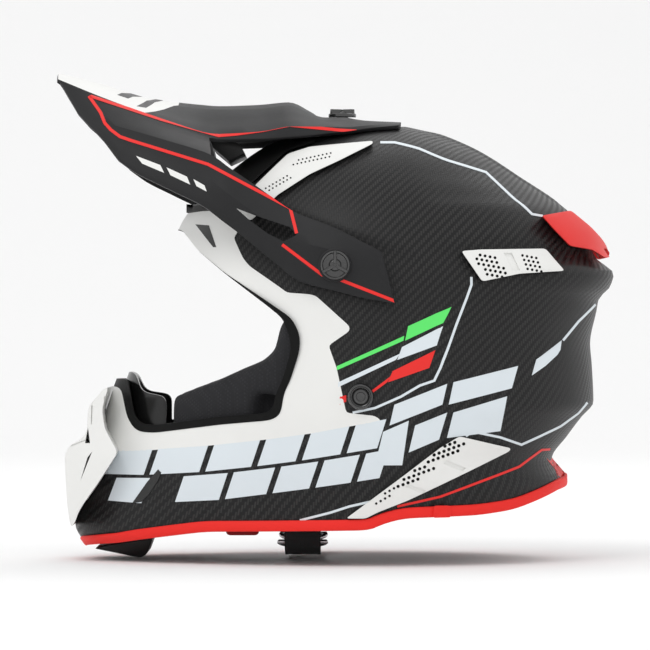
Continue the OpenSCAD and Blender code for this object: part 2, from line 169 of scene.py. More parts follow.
def side_y(z):
    """Half-width of the slice at height z."""
    z = np.asarray(z, float)
    up = np.clip((z - EAR_Z) / (CROWN_Z - EAR_Z), 0, 1)
    return np.where(z > EAR_Z, HALF_WIDTH * (1 - up ** 2.1) ** (1 / 2.1), low_width(z))


def slice_centre(z):
    return np.interp(z, [80, CROWN_Z], [15, 34])


def front_power(z):
    return np.interp(z, [-60, 49, 80], [1.7, 1.95, 2.1])


def surface_y(x, z):
    """How far out the shell surface is at (x, z), or 0 past its front and rear lines."""
    c = slice_centre(z)
    front = x < c
    end = np.where(front, c - front_x(z), rear_x(z) - c)
    power = np.where(front, front_power(z), REAR_POWER)
    inside = np.clip(1 - np.abs((x - c) / np.maximum(end, 1e-6)) ** power, 0, 1)
    return side_y(z) * inside ** (1 / power)


def sink(points, t):
    """Moves shell surface points t below the surface, or above it for a negative t."""
    points = np.array(points, float)
    points[..., 0] *= 1 - t / SPAN[0]
    points[..., 1] *= 1 - t / SPAN[1]
    points[..., 2] *= np.where(points[..., 2] > 0, 1 - t / CROWN_Z, 1.0)
    return points


def step_between(value, low, high):
    """0 below low, 1 above high, with a smooth rise between."""
    f = np.clip((value - low) / (high - low), 0, 1)
    return f * f * (3 - 2 * f)


def line_side(x, z, line):
    """Signed distance from a polyline, positive on its left as the points run."""
    best = np.full(np.shape(x), 1e9)
    sign = np.ones(np.shape(x))
    for (ax, az), (bx, bz) in zip(line, line[1:]):
        dx, dz = bx - ax, bz - az
        f = np.clip(((x - ax) * dx + (z - az) * dz) / (dx * dx + dz * dz), 0, 1)
        away = np.hypot(x - ax - f * dx, z - az - f * dz)
        cross = dx * (z - az) - dz * (x - ax)
        near = away < best
        best = np.where(near, away, best)
        sign = np.where(near, np.sign(cross), sign)
    return best * sign


# Middles of the peak's pivot and of the side plug on the right side, and the X of the top screw.
PIVOT = (-10, 123.3, 21)
PLUG = (6, 118.5, -61)
TOP_SCREW_X = -5
INSERT_BORE = 6
PLUG_BORE = 5.05
COLLAR_BORE = 4.05

# The step round the seat of the peak's arm, and the crease that runs back from it, in side view.
ARM_SEAT = [(-60, 66), (-32, 54), (-1, 42), (31, 32), (41, 29), (46, 21), (53, 6), (60, -8), (60, -60)]
REAR_CREASE = [(42, 31), (81, 34), (120, 36), (175, 37)]


def relief(x, y, z):
    """Depth of the moulded steps below the plain surface."""
    seat = step_between(-line_side(x, z, ARM_SEAT), -0.5, 4.5) * step_between(z, -70, 0)
    seat = seat * step_between(x, -75, -45)
    ledge = step_between(-line_side(x, z, REAR_CREASE), -3, 3) * step_between(x, 44, 60)
    ledge = ledge * step_between(z, -40, 20)
    spine = step_between(22 - np.abs(y), 0, 6) * step_between(x, 36, 60) * step_between(z, 58, 66)
    return 2.4 * seat + 1.8 * ledge + 1.2 * (1 - spine) * step_between(x, 36, 60) * step_between(z, 58, 66)


# ---------------------------------------------------------------- outlines in side view, as (x, z)
PORT = [
    (-240, 46), (-109, 46), (-97, 31), (-80, 17), (-53, -1), (-37, -12), (-32, -22), (-32, -32), (-38, -51),
    (-42, -59), (-44, -72), (-50, -76), (-82, -79), (-126, -85), (-137, -84), (-143, -76), (-148, -56),
    (-240, -56)]
LIP = [
    (-240, 45.4), (-108.6, 45.4), (-96.3, 30.4), (-79.4, 16.2), (-61, 2.2), (-51.5, -5), (-43, -12),
    (-38.5, -22.5), (-37.5, -32), (-43, -51), (-47, -59), (-49, -68), (-53, -71.5), (-82, -74), (-125, -80),
    (-133, -79.5), (-138, -74), (-143, -51), (-240, -51)]
BASE = [
    (-171.5, -158.8), (-147, -155), (-121, -151), (-92, -147), (12, -145), (20, -141), (33, -137.5),
    (80, -136), (103, -133), (120, -127), (132, -122), (140, -119)]


def rounded(outline, radius, closed=True, steps=4):
    """The outline with its corners turned into short curves."""
    points = [Vector(p) for p in outline]
    count = len(points)
    result = []
    for i, p in enumerate(points):
        if not closed and i in (0, count - 1):
            result.append(p)
            continue
        before, after = points[i - 1], points[(i + 1) % count]
        a = p + (before - p).normalized() * min(radius, (before - p).length * 0.45)
        b = p + (after - p).normalized() * min(radius, (after - p).length * 0.45)
        for k in range(steps + 1):
            f = k / steps
            result.append(a * (1 - f) ** 2 + p * (2 * f * (1 - f)) + b * f ** 2)
    return result


def disc(x, z, r, count=32):
    return [(x + r * math.cos(a), z + r * math.sin(a)) for a in np.linspace(0, 2 * math.pi, count, False)]


def stripe(path, width, closed=False):
    """The outline of a band of that width along a path."""
    points = [Vector(p) for p in path]
    left, right = [], []
    for i, p in enumerate(points):
        before = points[max(i - 1, 0)]
        after = points[min(i + 1, len(points) - 1)]
        first = (p - before).normalized() if i else (after - p).normalized()
        last = (after - p).normalized() if i < len(points) - 1 else first
        mid = (first + last).normalized()
        out = Vector((-mid.y, mid.x))
        reach = width / 2 / max(0.4, mid.dot(first))
        left.append(p + out * reach)
        right.append(p - out * reach)
    return left + right[::-1]


# ---------------------------------------------------------------- mesh helpers
def new_object(name, mesh, material=None, smooth=38.0):
    obj = bpy.data.objects.new(name, mesh)
    bpy.context.collection.objects.link(obj)
    if material:
        mesh.materials.append(material)
    if smooth:
        soften(obj, smooth)
    return obj


def soften(obj, angle):
    """Smooth shading, with edges sharper than the angle left crisp."""
    obj.data.shade_smooth()
    obj.data.set_sharp_from_angle(angle=math.radians(angle))


def mesh_from(name, points, faces):
    """A mesh from points in millimetres."""
    mesh = bpy.data.meshes.new(name)
    mesh.from_pydata([[c * MM for c in p] for p in points], [], faces)
    mesh.update()
    return mesh


def vertex_values(mesh, kind="co"):
    """The mesh's vertex places, or its normals, as rows of an array."""
    values = np.empty(len(mesh.vertices) * 3)
    mesh.vertices.foreach_get(kind, values)
    return values.reshape(-1, 3)


def fix_normals(obj):
    work = bmesh.new()
    work.from_mesh(obj.data)
    bmesh.ops.recalc_face_normals(work, faces=work.faces)
    work.to_mesh(obj.data)
    work.free()


def weld(obj, distance=0.00001):
    """Merges the doubled points and dissolves the slivers that a boolean leaves."""
    work = bmesh.new()
    work.from_mesh(obj.data)
    bmesh.ops.remove_doubles(work, verts=work.verts, dist=distance)
    bmesh.ops.dissolve_degenerate(work, dist=distance, edges=work.edges)
    work.to_mesh(obj.data)
    work.free()
    return obj


def apply_modifiers(obj):
    bpy.context.view_layer.update()
    graph = bpy.context.evaluated_depsgraph_get()
    mesh = bpy.data.meshes.new_from_object(obj.evaluated_get(graph))
    obj.modifiers.clear()
    obj.data = mesh


def combine(obj, other, operation):
    """Boolean of two closed objects. The second one is used up."""
    modifier = obj.modifiers.new("cut", "BOOLEAN")
    modifier.object = other
    modifier.operation = operation
    modifier.solver = "EXACT"
    apply_modifiers(obj)
    bpy.data.objects.remove(other)
    return obj


def join(name, objects):
    """One object from several, with each material kept."""
    work = bmesh.new()
    materials = []
    for o in objects:
        for m in o.data.materials:
            if m not in materials:
                materials.append(m)
        index = [materials.index(m) for m in o.data.materials] or [0]
        part = bmesh.new()
        part.from_mesh(o.data)
        part.transform(o.matrix_world)
        for face in part.faces:
            face.material_index = index[min(face.material_index, len(index) - 1)]
        copy = bpy.data.meshes.new("part")
        part.to_mesh(copy)
        part.free()
        work.from_mesh(copy)
        bpy.data.meshes.remove(copy)
    mesh = bpy.data.meshes.new(name)
    work.to_mesh(mesh)
    work.free()
    for m in materials:
        mesh.materials.append(m)
    for o in objects:
        bpy.data.objects.remove(o)
    obj = bpy.data.objects.new(name, mesh)
    bpy.context.collection.objects.link(obj)
    return obj


def cut_to(obj, outlines, axis="y"):
    """Keeps what lies inside any of the outlines, drawn in side view, or from above for the axis z."""
    xs = [p[0] for outline in outlines for p in outline]
    zs = [p[1] for outline in outlines for p in outline]
    x0, x1, z0, z1 = min(xs) - 1, max(xs) + 1, min(zs) - 1, max(zs) + 1
    combine(obj, prisms([[(x0, z0), (x1, z0), (x1, z1), (x0, z1)]], -200, 200, axis), "INTERSECT")
    pieces = []
    for outline in outlines:
        piece = new_object(obj.name + "_part", obj.data.copy(), smooth=None)
        pieces.append(combine(piece, prisms([outline], -200, 200, axis), "INTERSECT"))
    name = obj.name
    bpy.data.objects.remove(obj)
    return join(name, pieces)


def prisms(outlines, low, high, axis="y"):
    """Closed prisms over outlines in one object, from low to high along Y, or along X or Z."""
    points, faces = [], []
    for outline in outlines:
        n, base = len(outline), len(points)
        for level in (low, high):
            for a, b in outline:
                points.append({"y": (a, level, b), "x": (level, a, b), "z": (a, b, level)}[axis])
        faces.append([base + i for i in range(n)])
        faces.append([base + n + i for i in reversed(range(n))])
        for i in range(n):
            j = (i + 1) % n
            faces.append([base + j, base + i, base + n + i, base + n + j])
    obj = new_object("prism", mesh_from("prism", points, faces), smooth=None)
    fix_normals(obj)
    return obj


def slice_heights(down_to=BOTTOM_Z, up=46, step=2.6):
    """Heights of the slices: close together near the crown, even below the middle."""
    crown = [CROWN_Z * math.sin(math.pi / 2 * k / up) for k in range(up - 1, 0, -1)]
    low = [-step * k for k in range(int(-down_to / step) + 1)]
    return crown + [z for z in low if z > down_to + 0.5] + [down_to]


def skin_rings(heights, count, t, moulded=True):
    """Rings of surface points from the crown down, sunk by t."""
    angles = np.linspace(0, 2 * math.pi, count, endpoint=False)
    z = np.repeat(np.array(heights)[:, None], count, axis=1)
    cos, sin = np.cos(angles)[None, :], np.sin(angles)[None, :]
    power = np.where(cos < 0, front_power(z), REAR_POWER)
    c = slice_centre(z)
    end = np.where(cos < 0, c - front_x(z), rear_x(z) - c)
    x = c + end * np.sign(cos) * np.abs(cos) ** (2 / power)
    y = side_y(z) * np.sign(sin) * np.abs(sin) ** (2 / power)
    points = np.stack([x, y, z], axis=-1)
    depth = t + (relief(x, y, z) if moulded else 0.0)
    return sink(points, depth)


def layer_object(name, t_out, t_in, material=None, count=220, heights=None, moulded=True):
    """The closed layer between two depths under the shell surface, open at the bottom only."""
    heights = heights or slice_heights()
    m, n = len(heights), count
    outer = skin_rings(heights, n, t_out, moulded)
    inner = skin_rings(heights, n, t_in, moulded)
    top = [sink((APEX_X, 0, CROWN_Z), t) for t in (t_out, t_in)]
    points = np.concatenate([outer.reshape(-1, 3), inner.reshape(-1, 3), np.array(top)])
    faces = []
    for base, flip in ((0, False), (m * n, True)):
        apex = 2 * m * n + (1 if flip else 0)
        for i in range(n):
            j = (i + 1) % n
            ring = [apex, base + i, base + j]
            faces.append(ring[::-1] if flip else ring)
        for k in range(m - 1):
            for i in range(n):
                j = (i + 1) % n
                quad = [base + k * n + i, base + (k + 1) * n + i, base + (k + 1) * n + j, base + k * n + j]
                faces.append(quad[::-1] if flip else quad)
    last = (m - 1) * n
    for i in range(n):
        j = (i + 1) % n
        faces.append([last + i, m * n + last + i, m * n + last + j, last + j])
    mesh = mesh_from(name, points, faces)
    add_weave_uv(mesh)
    return new_object(name, mesh, material)


def add_weave_uv(mesh):
    """UVs in millimetres, laid out from the middle of each side as cloth is draped over a form."""
    layer = mesh.uv_layers.new(name="weave")
    index = np.empty(len(mesh.loops), dtype=np.int32)
    mesh.loops.foreach_get("vertex_index", index)
    away = vertex_values(mesh) / MM - np.array(DRAPE_CENTRE)
    away = away / np.linalg.norm(away, axis=1, keepdims=True)
    from_side = np.arccos(np.clip(np.abs(away[:, 1]), 0, 1))
    reach = DRAPE_RADIUS * from_side / np.maximum(np.hypot(away[:, 0], away[:, 2]), 1e-6)
    uv = np.stack([away[:, 0] * reach, away[:, 2] * reach], axis=-1)[index]
    layer.data.foreach_set("uv", uv.ravel().astype(np.float32))


def patch(name, t_out, t_in, outline, material=None, ends=THROUGH, **layer):
    """The part of a plain layer that lies inside a side-view outline, between two places along Y."""
    obj = layer_object(name, t_out, t_in, material, moulded=False, **layer)
    return combine(obj, prisms([outline], *ends), "INTERSECT")


def place(obj, body, *nodes, slot=None):
    """Rides on a body and stands for the named nodes. The slot is not used."""
    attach(obj, body)
    if nodes:
        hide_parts(*nodes)
    return obj


def sweep(name, path, profile, material, closed=True, smooth=50.0):
    """A profile of (out, across) offsets swept along (point, out, across) stations in millimetres."""
    n = len(profile)
    points = [p + out * a + across * b for p, out, across in path for a, b in profile]
    faces = []
    m = len(path)
    for k in range(m if closed else m - 1):
        for i in range(n):
            j = (i + 1) % n
            a, b = k * n, ((k + 1) % m) * n
            faces.append([a + i, a + j, b + j, b + i])
    if not closed:
        faces.append([i for i in range(n)])
        faces.append([(m - 1) * n + i for i in reversed(range(n))])
    obj = new_object(name, mesh_from(name, points, faces), material, smooth)
    fix_normals(obj)
    return obj


# ---------------------------------------------------------------- materials
TOW = 1.6


class Shader:
    """A Principled material with short ways to add procedural patterns."""

    def __init__(self, name, color, roughness, **sockets):
        self.material = bpy.data.materials.new(name)
        self.material.use_nodes = True
        self.nodes = self.material.node_tree.nodes
        self.links = self.material.node_tree.links
        self.surface = self.nodes["Principled BSDF"]
        self.surface.inputs["Base Color"].default_value = (*color, 1.0)
        self.surface.inputs["Roughness"].default_value = roughness
        for key, value in sockets.items():
            self.surface.inputs[key.replace("_", " ")].default_value = value
        self.material.diffuse_color = (*color, 1.0)

    def add(self, kind, **inputs):
        node = self.nodes.new(kind)
        for key, value in inputs.items():
            self.put(node.inputs[key.replace("_", " ")], value)
        return node

    def put(self, socket, value):
        if isinstance(value, bpy.types.NodeSocket):
            self.links.new(value, socket)
        else:
            socket.default_value = value

    def math(self, operation, a, b=0.0):
        node = self.nodes.new("ShaderNodeMath")
        node.operation = operation
        self.put(node.inputs[0], a)
        self.put(node.inputs[1], b)
        return node.outputs[0]

    def coordinates(self, kind="Object", name=None):
        if name:
            node = self.nodes.new("ShaderNodeUVMap")
            node.uv_map = name
            return node.outputs[0]
        return self.nodes.new("ShaderNodeTexCoord").outputs[kind]

    def noise(self, scale, detail=3.0, roughness=0.55):
        node = self.add("ShaderNodeTexNoise", Vector=self.coordinates(), Scale=scale, Detail=detail,
                        Roughness=roughness)
        return node.outputs["Fac"]

    def spread(self, factor, low, high):
        """Maps a 0..1 factor to low..high."""
        node = self.nodes.new("ShaderNodeMapRange")
        self.put(node.inputs["Value"], factor)
        node.inputs["To Min"].default_value = low
        node.inputs["To Max"].default_value = high
        return node.outputs["Result"]

    def mix(self, factor, a, b):
        node = self.nodes.new("ShaderNodeMix")
        node.data_type = "RGBA"
        self.put(node.inputs["Factor"], factor)
        for socket, value in ((node.inputs[6], a), (node.inputs[7], b)):
            self.put(socket, (*value, 1.0) if isinstance(value, tuple) and len(value) == 3 else value)
        return node.outputs[2]

    def bump(self, height, distance, strength=1.0):
        node = self.add("ShaderNodeBump", Height=height, Strength=strength, Distance=distance)
        self.links.new(node.outputs[0], self.surface.inputs["Normal"])
        return node

    def set(self, socket, value):
        self.put(self.surface.inputs[socket], value)
        return self


def grained(name, color, roughness, scale=900.0, depth=0.00005, vary=0.12, **sockets):
    """Moulded plastic or paint: a fine grain and slightly uneven gloss."""
    s = Shader(name, color, roughness, **sockets)
    s.set("Roughness", s.spread(s.noise(60.0), roughness * (1 - vary), min(1.0, roughness * (1 + vary))))
    s.bump(s.noise(scale, 2.0), depth)
    darker = tuple(c * 0.94 for c in color)
    s.set("Base Color", s.mix(s.noise(25.0, 2.0), darker, color))
    return s.material


def carbon_weave():
    """A two-by-two twill of carbon tows under a satin lacquer."""
    s = Shader("carbon_twill", (0.02, 0.02, 0.021), 0.45, Specular_IOR_Level=0.22, Coat_Weight=0.04,
               Coat_Roughness=0.35)
    uv = s.add("ShaderNodeSeparateXYZ", Vector=s.coordinates(name="weave"))
    u = s.math("DIVIDE", uv.outputs[0], TOW)
    v = s.math("DIVIDE", uv.outputs[1], TOW)
    step = s.math("ADD", s.math("FLOOR", u), s.math("FLOOR", s.math("MULTIPLY", v, -1.0)))
    over = s.math("LESS_THAN", s.math("FLOORED_MODULO", step, 4.0), 2.0)
    warp = s.math("SINE", s.math("MULTIPLY", s.math("FRACT", u), math.pi))
    weft = s.math("SINE", s.math("MULTIPLY", s.math("FRACT", v), math.pi))
    under = s.math("SUBTRACT", 1.0, over)
    height = s.math("ADD", s.math("MULTIPLY", over, warp), s.math("MULTIPLY", under, weft))
    patchy = s.spread(s.noise(14.0, 2.0), 0.7, 1.0)
    shade = s.mix(over, (0.007, 0.007, 0.007), (0.034, 0.033, 0.032))
    tow = s.mix(s.math("MULTIPLY", height, patchy), (0.008, 0.008, 0.009), shade)
    s.set("Base Color", tow)
    s.set("Roughness", s.spread(over, 0.36, 0.55))
    s.bump(height, 0.00005, 0.7)
    return s.material


def woven(name, color, pitch, depth, roughness=0.85, **sockets):
    """Plain woven or knitted cloth with threads pitch metres apart."""
    s = Shader(name, color, roughness, Sheen_Weight=0.04, Sheen_Roughness=0.5, Specular_IOR_Level=0.15,
               **sockets)
    at = s.add("ShaderNodeSeparateXYZ", Vector=s.coordinates())
    turn = 2 * math.pi / pitch
    waves = [s.math("SINE", s.math("MULTIPLY", at.outputs[k], turn)) for k in range(3)]
    cross = s.math("MULTIPLY", s.math("ADD", waves[0], waves[1]), s.math("ADD", waves[1], waves[2]))
    height = s.spread(s.math("MULTIPLY", cross, 0.25), 0.2, 0.8)
    s.set("Base Color", s.mix(height, tuple(c * 0.55 for c in color), color))
    s.bump(height, depth)
    return s.material


CARBON = carbon_weave()
WHITE_PAINT = grained("white_paint", (0.80, 0.80, 0.78), 0.45, scale=500.0, depth=0.00002)
ICE_PAINT = grained("ice_paint", (0.70, 0.76, 0.80), 0.40, scale=500.0, depth=0.00002)
RED_PAINT = grained("red_paint", (0.80, 0.028, 0.024), 0.45, scale=500.0, depth=0.00002,
                    Specular_IOR_Level=0.25)
GREEN_PAINT = grained("green_paint", (0.10, 0.78, 0.14), 0.40, scale=500.0, depth=0.00002)
BLACK_PAINT = grained("black_paint", (0.012, 0.012, 0.012), 0.45, scale=500.0, depth=0.00002)
WHITE_PLASTIC = grained("white_plastic", (0.80, 0.80, 0.78), 0.38)
RED_PLASTIC = grained("red_plastic", (0.76, 0.028, 0.024), 0.45, Specular_IOR_Level=0.3)
BLACK_PLASTIC = grained("black_plastic", (0.008, 0.008, 0.008), 0.42, depth=0.00006, Specular_IOR_Level=0.25)
GLOSS_PLASTIC = grained("gloss_plastic", (0.008, 0.008, 0.008), 0.12, depth=0.00001, Specular_IOR_Level=1.0)
PEAK_PLASTIC = grained("peak_plastic", (0.013, 0.013, 0.014), 0.50, scale=1400.0, depth=0.00006,
                       Specular_IOR_Level=0.25)
RED_RUBBER = grained("red_rubber", (0.84, 0.026, 0.020), 0.55, depth=0.00006, Specular_IOR_Level=0.2)
BLACK_RUBBER = grained("black_rubber", (0.005, 0.005, 0.005), 0.5, depth=0.00008, Specular_IOR_Level=0.12)
GUARD_RUBBER = grained("guard_rubber", (0.006, 0.006, 0.006), 0.22, depth=0.00003, Specular_IOR_Level=0.35)
BLACK_FOAM = grained("black_foam", (0.012, 0.012, 0.012), 0.8, scale=350.0, depth=0.0003,
                     Specular_IOR_Level=0.15)
BEAD_FOAM = grained("bead_foam", (0.035, 0.035, 0.037), 0.8, scale=260.0, depth=0.0004)
PAD_MESH = woven("pad_mesh", (0.034, 0.034, 0.037), 0.0024, 0.0003)
LINING = woven("lining_cloth", (0.034, 0.034, 0.038), 0.0020, 0.0002)
NECK_CLOTH = woven("neck_cloth", (0.016, 0.016, 0.017), 0.0020, 0.0002)
WEBBING = woven("strap_webbing", (0.010, 0.010, 0.011), 0.0016, 0.0003)
TAB_WEBBING = woven("tab_webbing", (0.30, 0.02, 0.02), 0.0016, 0.0003)
STEEL = grained("plated_steel", (0.60, 0.60, 0.62), 0.28, Metallic=1.0)
BRASS = grained("brass", (0.75, 0.55, 0.25), 0.32, Metallic=1.0)

# ---------------------------------------------------------------- the shell
PORT_CURVE = rounded(PORT, 5)


def base_outline(lift):
    """Everything below the bottom edge, in side view."""
    top = [(x, z + lift) for x, z in [(-240, -170)] + BASE + [(240, -80)]]
    return rounded(top, 8, closed=False) + [Vector((240, -240)), Vector((-240, -240))]


def build_shell():
    shell = layer_object("shell", 0.0, 3.0, CARBON)
    combine(shell, prisms([PORT_CURVE], *THROUGH), "DIFFERENCE")
    combine(shell, prisms([base_outline(3)], *THROUGH), "DIFFERENCE")
    bores = [disc(PIVOT[0], PIVOT[2], INSERT_BORE), disc(PLUG[0], PLUG[2], PLUG_BORE)]
    combine(shell, prisms(bores, *THROUGH), "DIFFERENCE")
    combine(shell, prisms([disc(TOP_SCREW_X, 0, INSERT_BORE)], 80, 140, "z"), "DIFFERENCE")
    soften(shell, 35)
    return place(shell, "helmet", "outer_shell", slot="carbon")


def decal(name, outlines, material):
    """A printed film that wraps round the shell's front, cut to side-view outlines and clear of the port."""
    film = cut_to(layer_object(name, -0.30, -0.03, material), outlines)
    combine(film, prisms([PORT_CURVE], *THROUGH), "DIFFERENCE")
    soften(film, 40)
    return place(film, "helmet")


def laid_film(name, outlines, material, depth=(0.03, 0.30), cell=4.0):
    """Printed films on both sides, each laid straight on the shell over its side-view outline."""
    work = bmesh.new()
    for outline in outlines:
        flat = bmesh.new()
        flat.faces.new([flat.verts.new((p[0], 0, p[1])) for p in outline])
        bmesh.ops.triangulate(flat, faces=flat.faces)
        for axis, normal in ((0, (1, 0, 0)), (2, (0, 0, 1))):
            values = [v.co[axis] for v in flat.verts]
            for at in np.arange(min(values) + cell, max(values), cell):
                geometry = flat.verts[:] + flat.edges[:] + flat.faces[:]
                place_at = [at if k == axis else 0.0 for k in range(3)]
                bmesh.ops.bisect_plane(flat, geom=geometry, dist=1e-5, plane_co=place_at, plane_no=normal)
        flat.verts.index_update()
        x, z = np.array([(v.co.x, v.co.z) for v in flat.verts]).T
        corners = [[v.index for v in f.verts] for f in flat.faces]
        rim = [[v.index for v in e.verts] for e in flat.edges if len(e.link_faces) == 1]
        flat.free()
        for side in (-1, 1):
            y = side * surface_y(x, z)
            points = np.stack([x, y, z], axis=-1)
            sunk = relief(x, y, z)
            low = [work.verts.new(Vector(p) * MM) for p in sink(points, sunk - depth[0])]
            high = [work.verts.new(Vector(p) * MM) for p in sink(points, sunk - depth[1])]
            for face in corners:
                work.faces.new([low[i] for i in face])
                work.faces.new([high[i] for i in reversed(face)])
            for a, b in rim:
                work.faces.new([low[a], low[b], high[b], high[a]])
    bmesh.ops.recalc_face_normals(work, faces=work.faces)
    mesh = bpy.data.meshes.new(name)
    work.to_mesh(mesh)
    work.free()
    return place(new_object(name, mesh, material, smooth=40.0), "helmet")


WHITE_FACE = [
    (-240, 56), (-105, 56), (-89, 57), (-82, 53), (-71, 43), (-74, 39), (-68, 26), (-64, 21), (-44, 7),
    (-40, 4), (-26, 3), (-22, 2), (-1, -17), (-1, -20), (-14, -29), (-9, -43), (-3, -71), (15, -73),
    (19, -76), (-3, -80), (-24, -84), (-52, -88), (-95, -93), (-128, -96), (-147, -97), (-240, -98)]
LETTER_TOP = [(-200, -98), (-147, -97), (-95, -93), (-52, -88), (-24, -84), (-4, -80), (19, -76), (40, -69)]
LETTER_LOW = [(-200, -131), (-170, -130), (-133, -132), (-84, -129), (-55, -125), (-5, -118), (38, -111)]


def slanted(x0, x1, low, high, lean=13.0):
    """A slanted block of the side band, from x0 to x1 at its foot, between two shares of its height."""
    corners = []
    for x, f in ((x0, low), (x1, low), (x1, high), (x0, high)):
        at = x + lean * f
        top = np.interp(at, *zip(*LETTER_TOP))
        foot = np.interp(at, *zip(*LETTER_LOW))
        corners.append(Vector((at, foot + (top - foot) * f)))
    return corners


def side_band():
    """Two rows of slanted blocks along the chin bar, laid like bricks. They stand for no letter."""
    upper = ((-168, -139), (-135, -103), (-99, -70), (-66, -42), (-38, -14), (-10, 9))
    lower = ((-156, -134), (-112, -84), (-80, -54), (-50, -27), (-23, -1), (3, 17))
    blocks = [slanted(x0, x1, 0.56, 1.0) for x0, x1 in upper]
    blocks += [slanted(x0, x1, 0.06, 0.50) for x0, x1 in lower]
    blocks.append(((20, -83), (36, -76), (32, -104), (15, -104)))
    blocks.append(((27, -66), (60, -53), (57, -66), (24, -79)))
    blocks.append(((40, -79), (60, -71), (55, -88), (36, -96)))
    blocks.append(((64, -52), (105, -42), (101, -56), (61, -66)))
    blocks.append(((64, -71), (98, -61), (94, -83), (60, -87)))
    return blocks


def pinstripes():
    lines = [[(19, 100), (28, 100), (44, 96), (63, 89), (87, 82), (98, 71), (115, 54), (122, 53)],
             [(76, 14), (76, 9), (73, 1), (66, -16), (56, -43), (52, -51), (43, -54), (31, -61), (15, -68),
              (1, -71)],
             [(159, -3), (146, -14), (135, -26)],
             [(152, -66), (146, -73), (134, -81), (120, -87), (108, -92), (94, -87), (76, -83), (72, -86)],
             [(-32, -139), (-13, -134), (-1, -130), (12, -127)]]
    patch = ((134, -26), (133, -32), (131, -35), (123, -42), (114, -48), (117, -38), (120, -36))
    return [stripe(line, 1.5) for line in lines] + [patch]


def print_graphics():
    over_paint = (0.32, 0.5)
    white = [[(32, -30), (58, -17), (54, -29), (29, -38)], [(31, -34), (28, -38), (-8, -55), (-8, -52)]]
    green = [[(36, -17), (63, -5), (58, -15), (34, -26)], [(33.5, -23), (33, -26), (-9, -44.5), (-9, -42)]]
    jaw_line = [(29, -130), (56, -124), (81, -115), (107, -106), (122, -96), (128, -96)]
    red = [[(26, -45), (53, -32), (49, -43), (23, -52)], [(25, -48), (22.5, -52), (13, -59), (13, -57)],
           [(-7, -61), (-3, -60), (-3, -64), (-7, -66)], stripe(jaw_line, 1.5),
           [(126, -102), (131, -102.5), (141, -114), (141, -118), (134, -119.5), (137, -115)]]
    # The first outline is painted shade: a black patch standing for the dark opening of the small brow vent.
    # The second is a dark printed slash on the chin band.
    vent_shade_and_slash = [[(-99, 48), (-90, 47), (-85, 33), (-87, 33)],
               [(-122, -108), (-120, -110), (-122, -115), (-128, -124), (-133, -129), (-139, -130),
                (-129, -116)]]
    brow_corner = [(-106, 62), (-86, 60.5), (-88, 56.5), (-106, 56.5)]
    decal("white_face_paint", [rounded(WHITE_FACE, 2, steps=2)], WHITE_PAINT)
    laid_film("side_band_print", side_band() + pinstripes() + white, ICE_PAINT)
    laid_film("green_stripes", green, GREEN_PAINT)
    laid_film("red_stripes", red, RED_PAINT)
    # Black paint over the white: the painted shade of the brow vent's opening and a printed slash.
    laid_film("vent_shade_and_dark_slash", vent_shade_and_slash, BLACK_PAINT, over_paint)
    laid_film("brow_corner_print", [brow_corner], BLACK_PAINT, over_paint)


build_shell()
print_graphics()

# ---------------------------------------------------------------- edge trims


def surface_normal(p):
    """Outward normal of the plain surface near p, by small steps."""
    h = 0.5

    def level(q):
        z = q[2]
        c = float(slice_centre(z))
        front = q[0] < c
        end = c - float(front_x(z)) if front else float(rear_x(z)) - c
        power = float(front_power(z)) if front else REAR_POWER
        return (abs(q[0] - c) / end) ** power + (abs(q[1]) / float(side_y(z))) ** power

    grad = []
    for k in range(3):
        a, b = list(p), list(p)
        a[k] += h
        b[k] -= h
        grad.append(level(a) - level(b))
    return Vector(grad).normalized()


def resampled(path, step):
    """Points a fixed distance apart along a polyline."""
    points = [Vector(p) for p in path]
    lengths = [0.0]
    for a, b in zip(points, points[1:]):
        lengths.append(lengths[-1] + (b - a).length)
    count = max(2, int(lengths[-1] / step))
    result = []
    for k in range(count + 1):
        s = lengths[-1] * k / count
        i = min(max(np.searchsorted(lengths, s) - 1, 0), len(points) - 2)
        f = (s - lengths[i]) / max(lengths[i + 1] - lengths[i], 1e-9)
        result.append(points[i].lerp(points[i + 1], f))
    return result


def build_gasket():
    """The port's edge rubber: a thin lip along the top that widens towards the rear corner and the chin."""
    gasket = patch("port_gasket_rubber", -0.6, 5.8, PORT_CURVE, BLACK_RUBBER)
    combine(gasket, prisms([rounded(LIP, 4)], *THROUGH), "DIFFERENCE")
    weld(gasket)
    bevelled(gasket, 1.1, segments=3, angle=40.0)
    return place(gasket, "helmet", "port_gasket", slot="black_rubber")


def build_base_trim():
    side = resampled(rounded(BASE[1:-1], 8, closed=False), 4.0)
    half = [(p[0], p[1]) for p in side]
    frames = []
    left = []
    for x, z in half:
        left.append(Vector((x, -float(surface_y(x, z)), z)))
    left = base_end(left[0], -1) + left + base_end(left[-1], 1)
    whole = left + [Vector((p.x, -p.y, p.z)) for p in reversed(left[1:-1])]
    count = len(whole)
    for i, p in enumerate(whole):
        along = (whole[(i + 1) % count] - whole[i - 1]).normalized()
        out = surface_normal(p)
        frames.append((p, out, out.cross(along).normalized()))
    up = 1 if frames[5][2].z > 0 else -1
    profile = [(2.0, 0.6 * up), (2.2, 2.0 * up), (1.9, 6.4 * up), (1.2, 7.0 * up), (0.3, 7.0 * up),
               (0.3, 2.8 * up), (-3.3, 2.8 * up), (-3.3, 7.0 * up), (-5.4, 6.6 * up), (-6.0, 5.6 * up),
               (-6.0, 1.0 * up), (-5.0, 0.1 * up), (1.0, 0.1 * up)]
    trim = sweep("bottom_trim_rubber", frames, profile, RED_RUBBER)
    return place(trim, "helmet", "base_trim", slot="red_rubber")


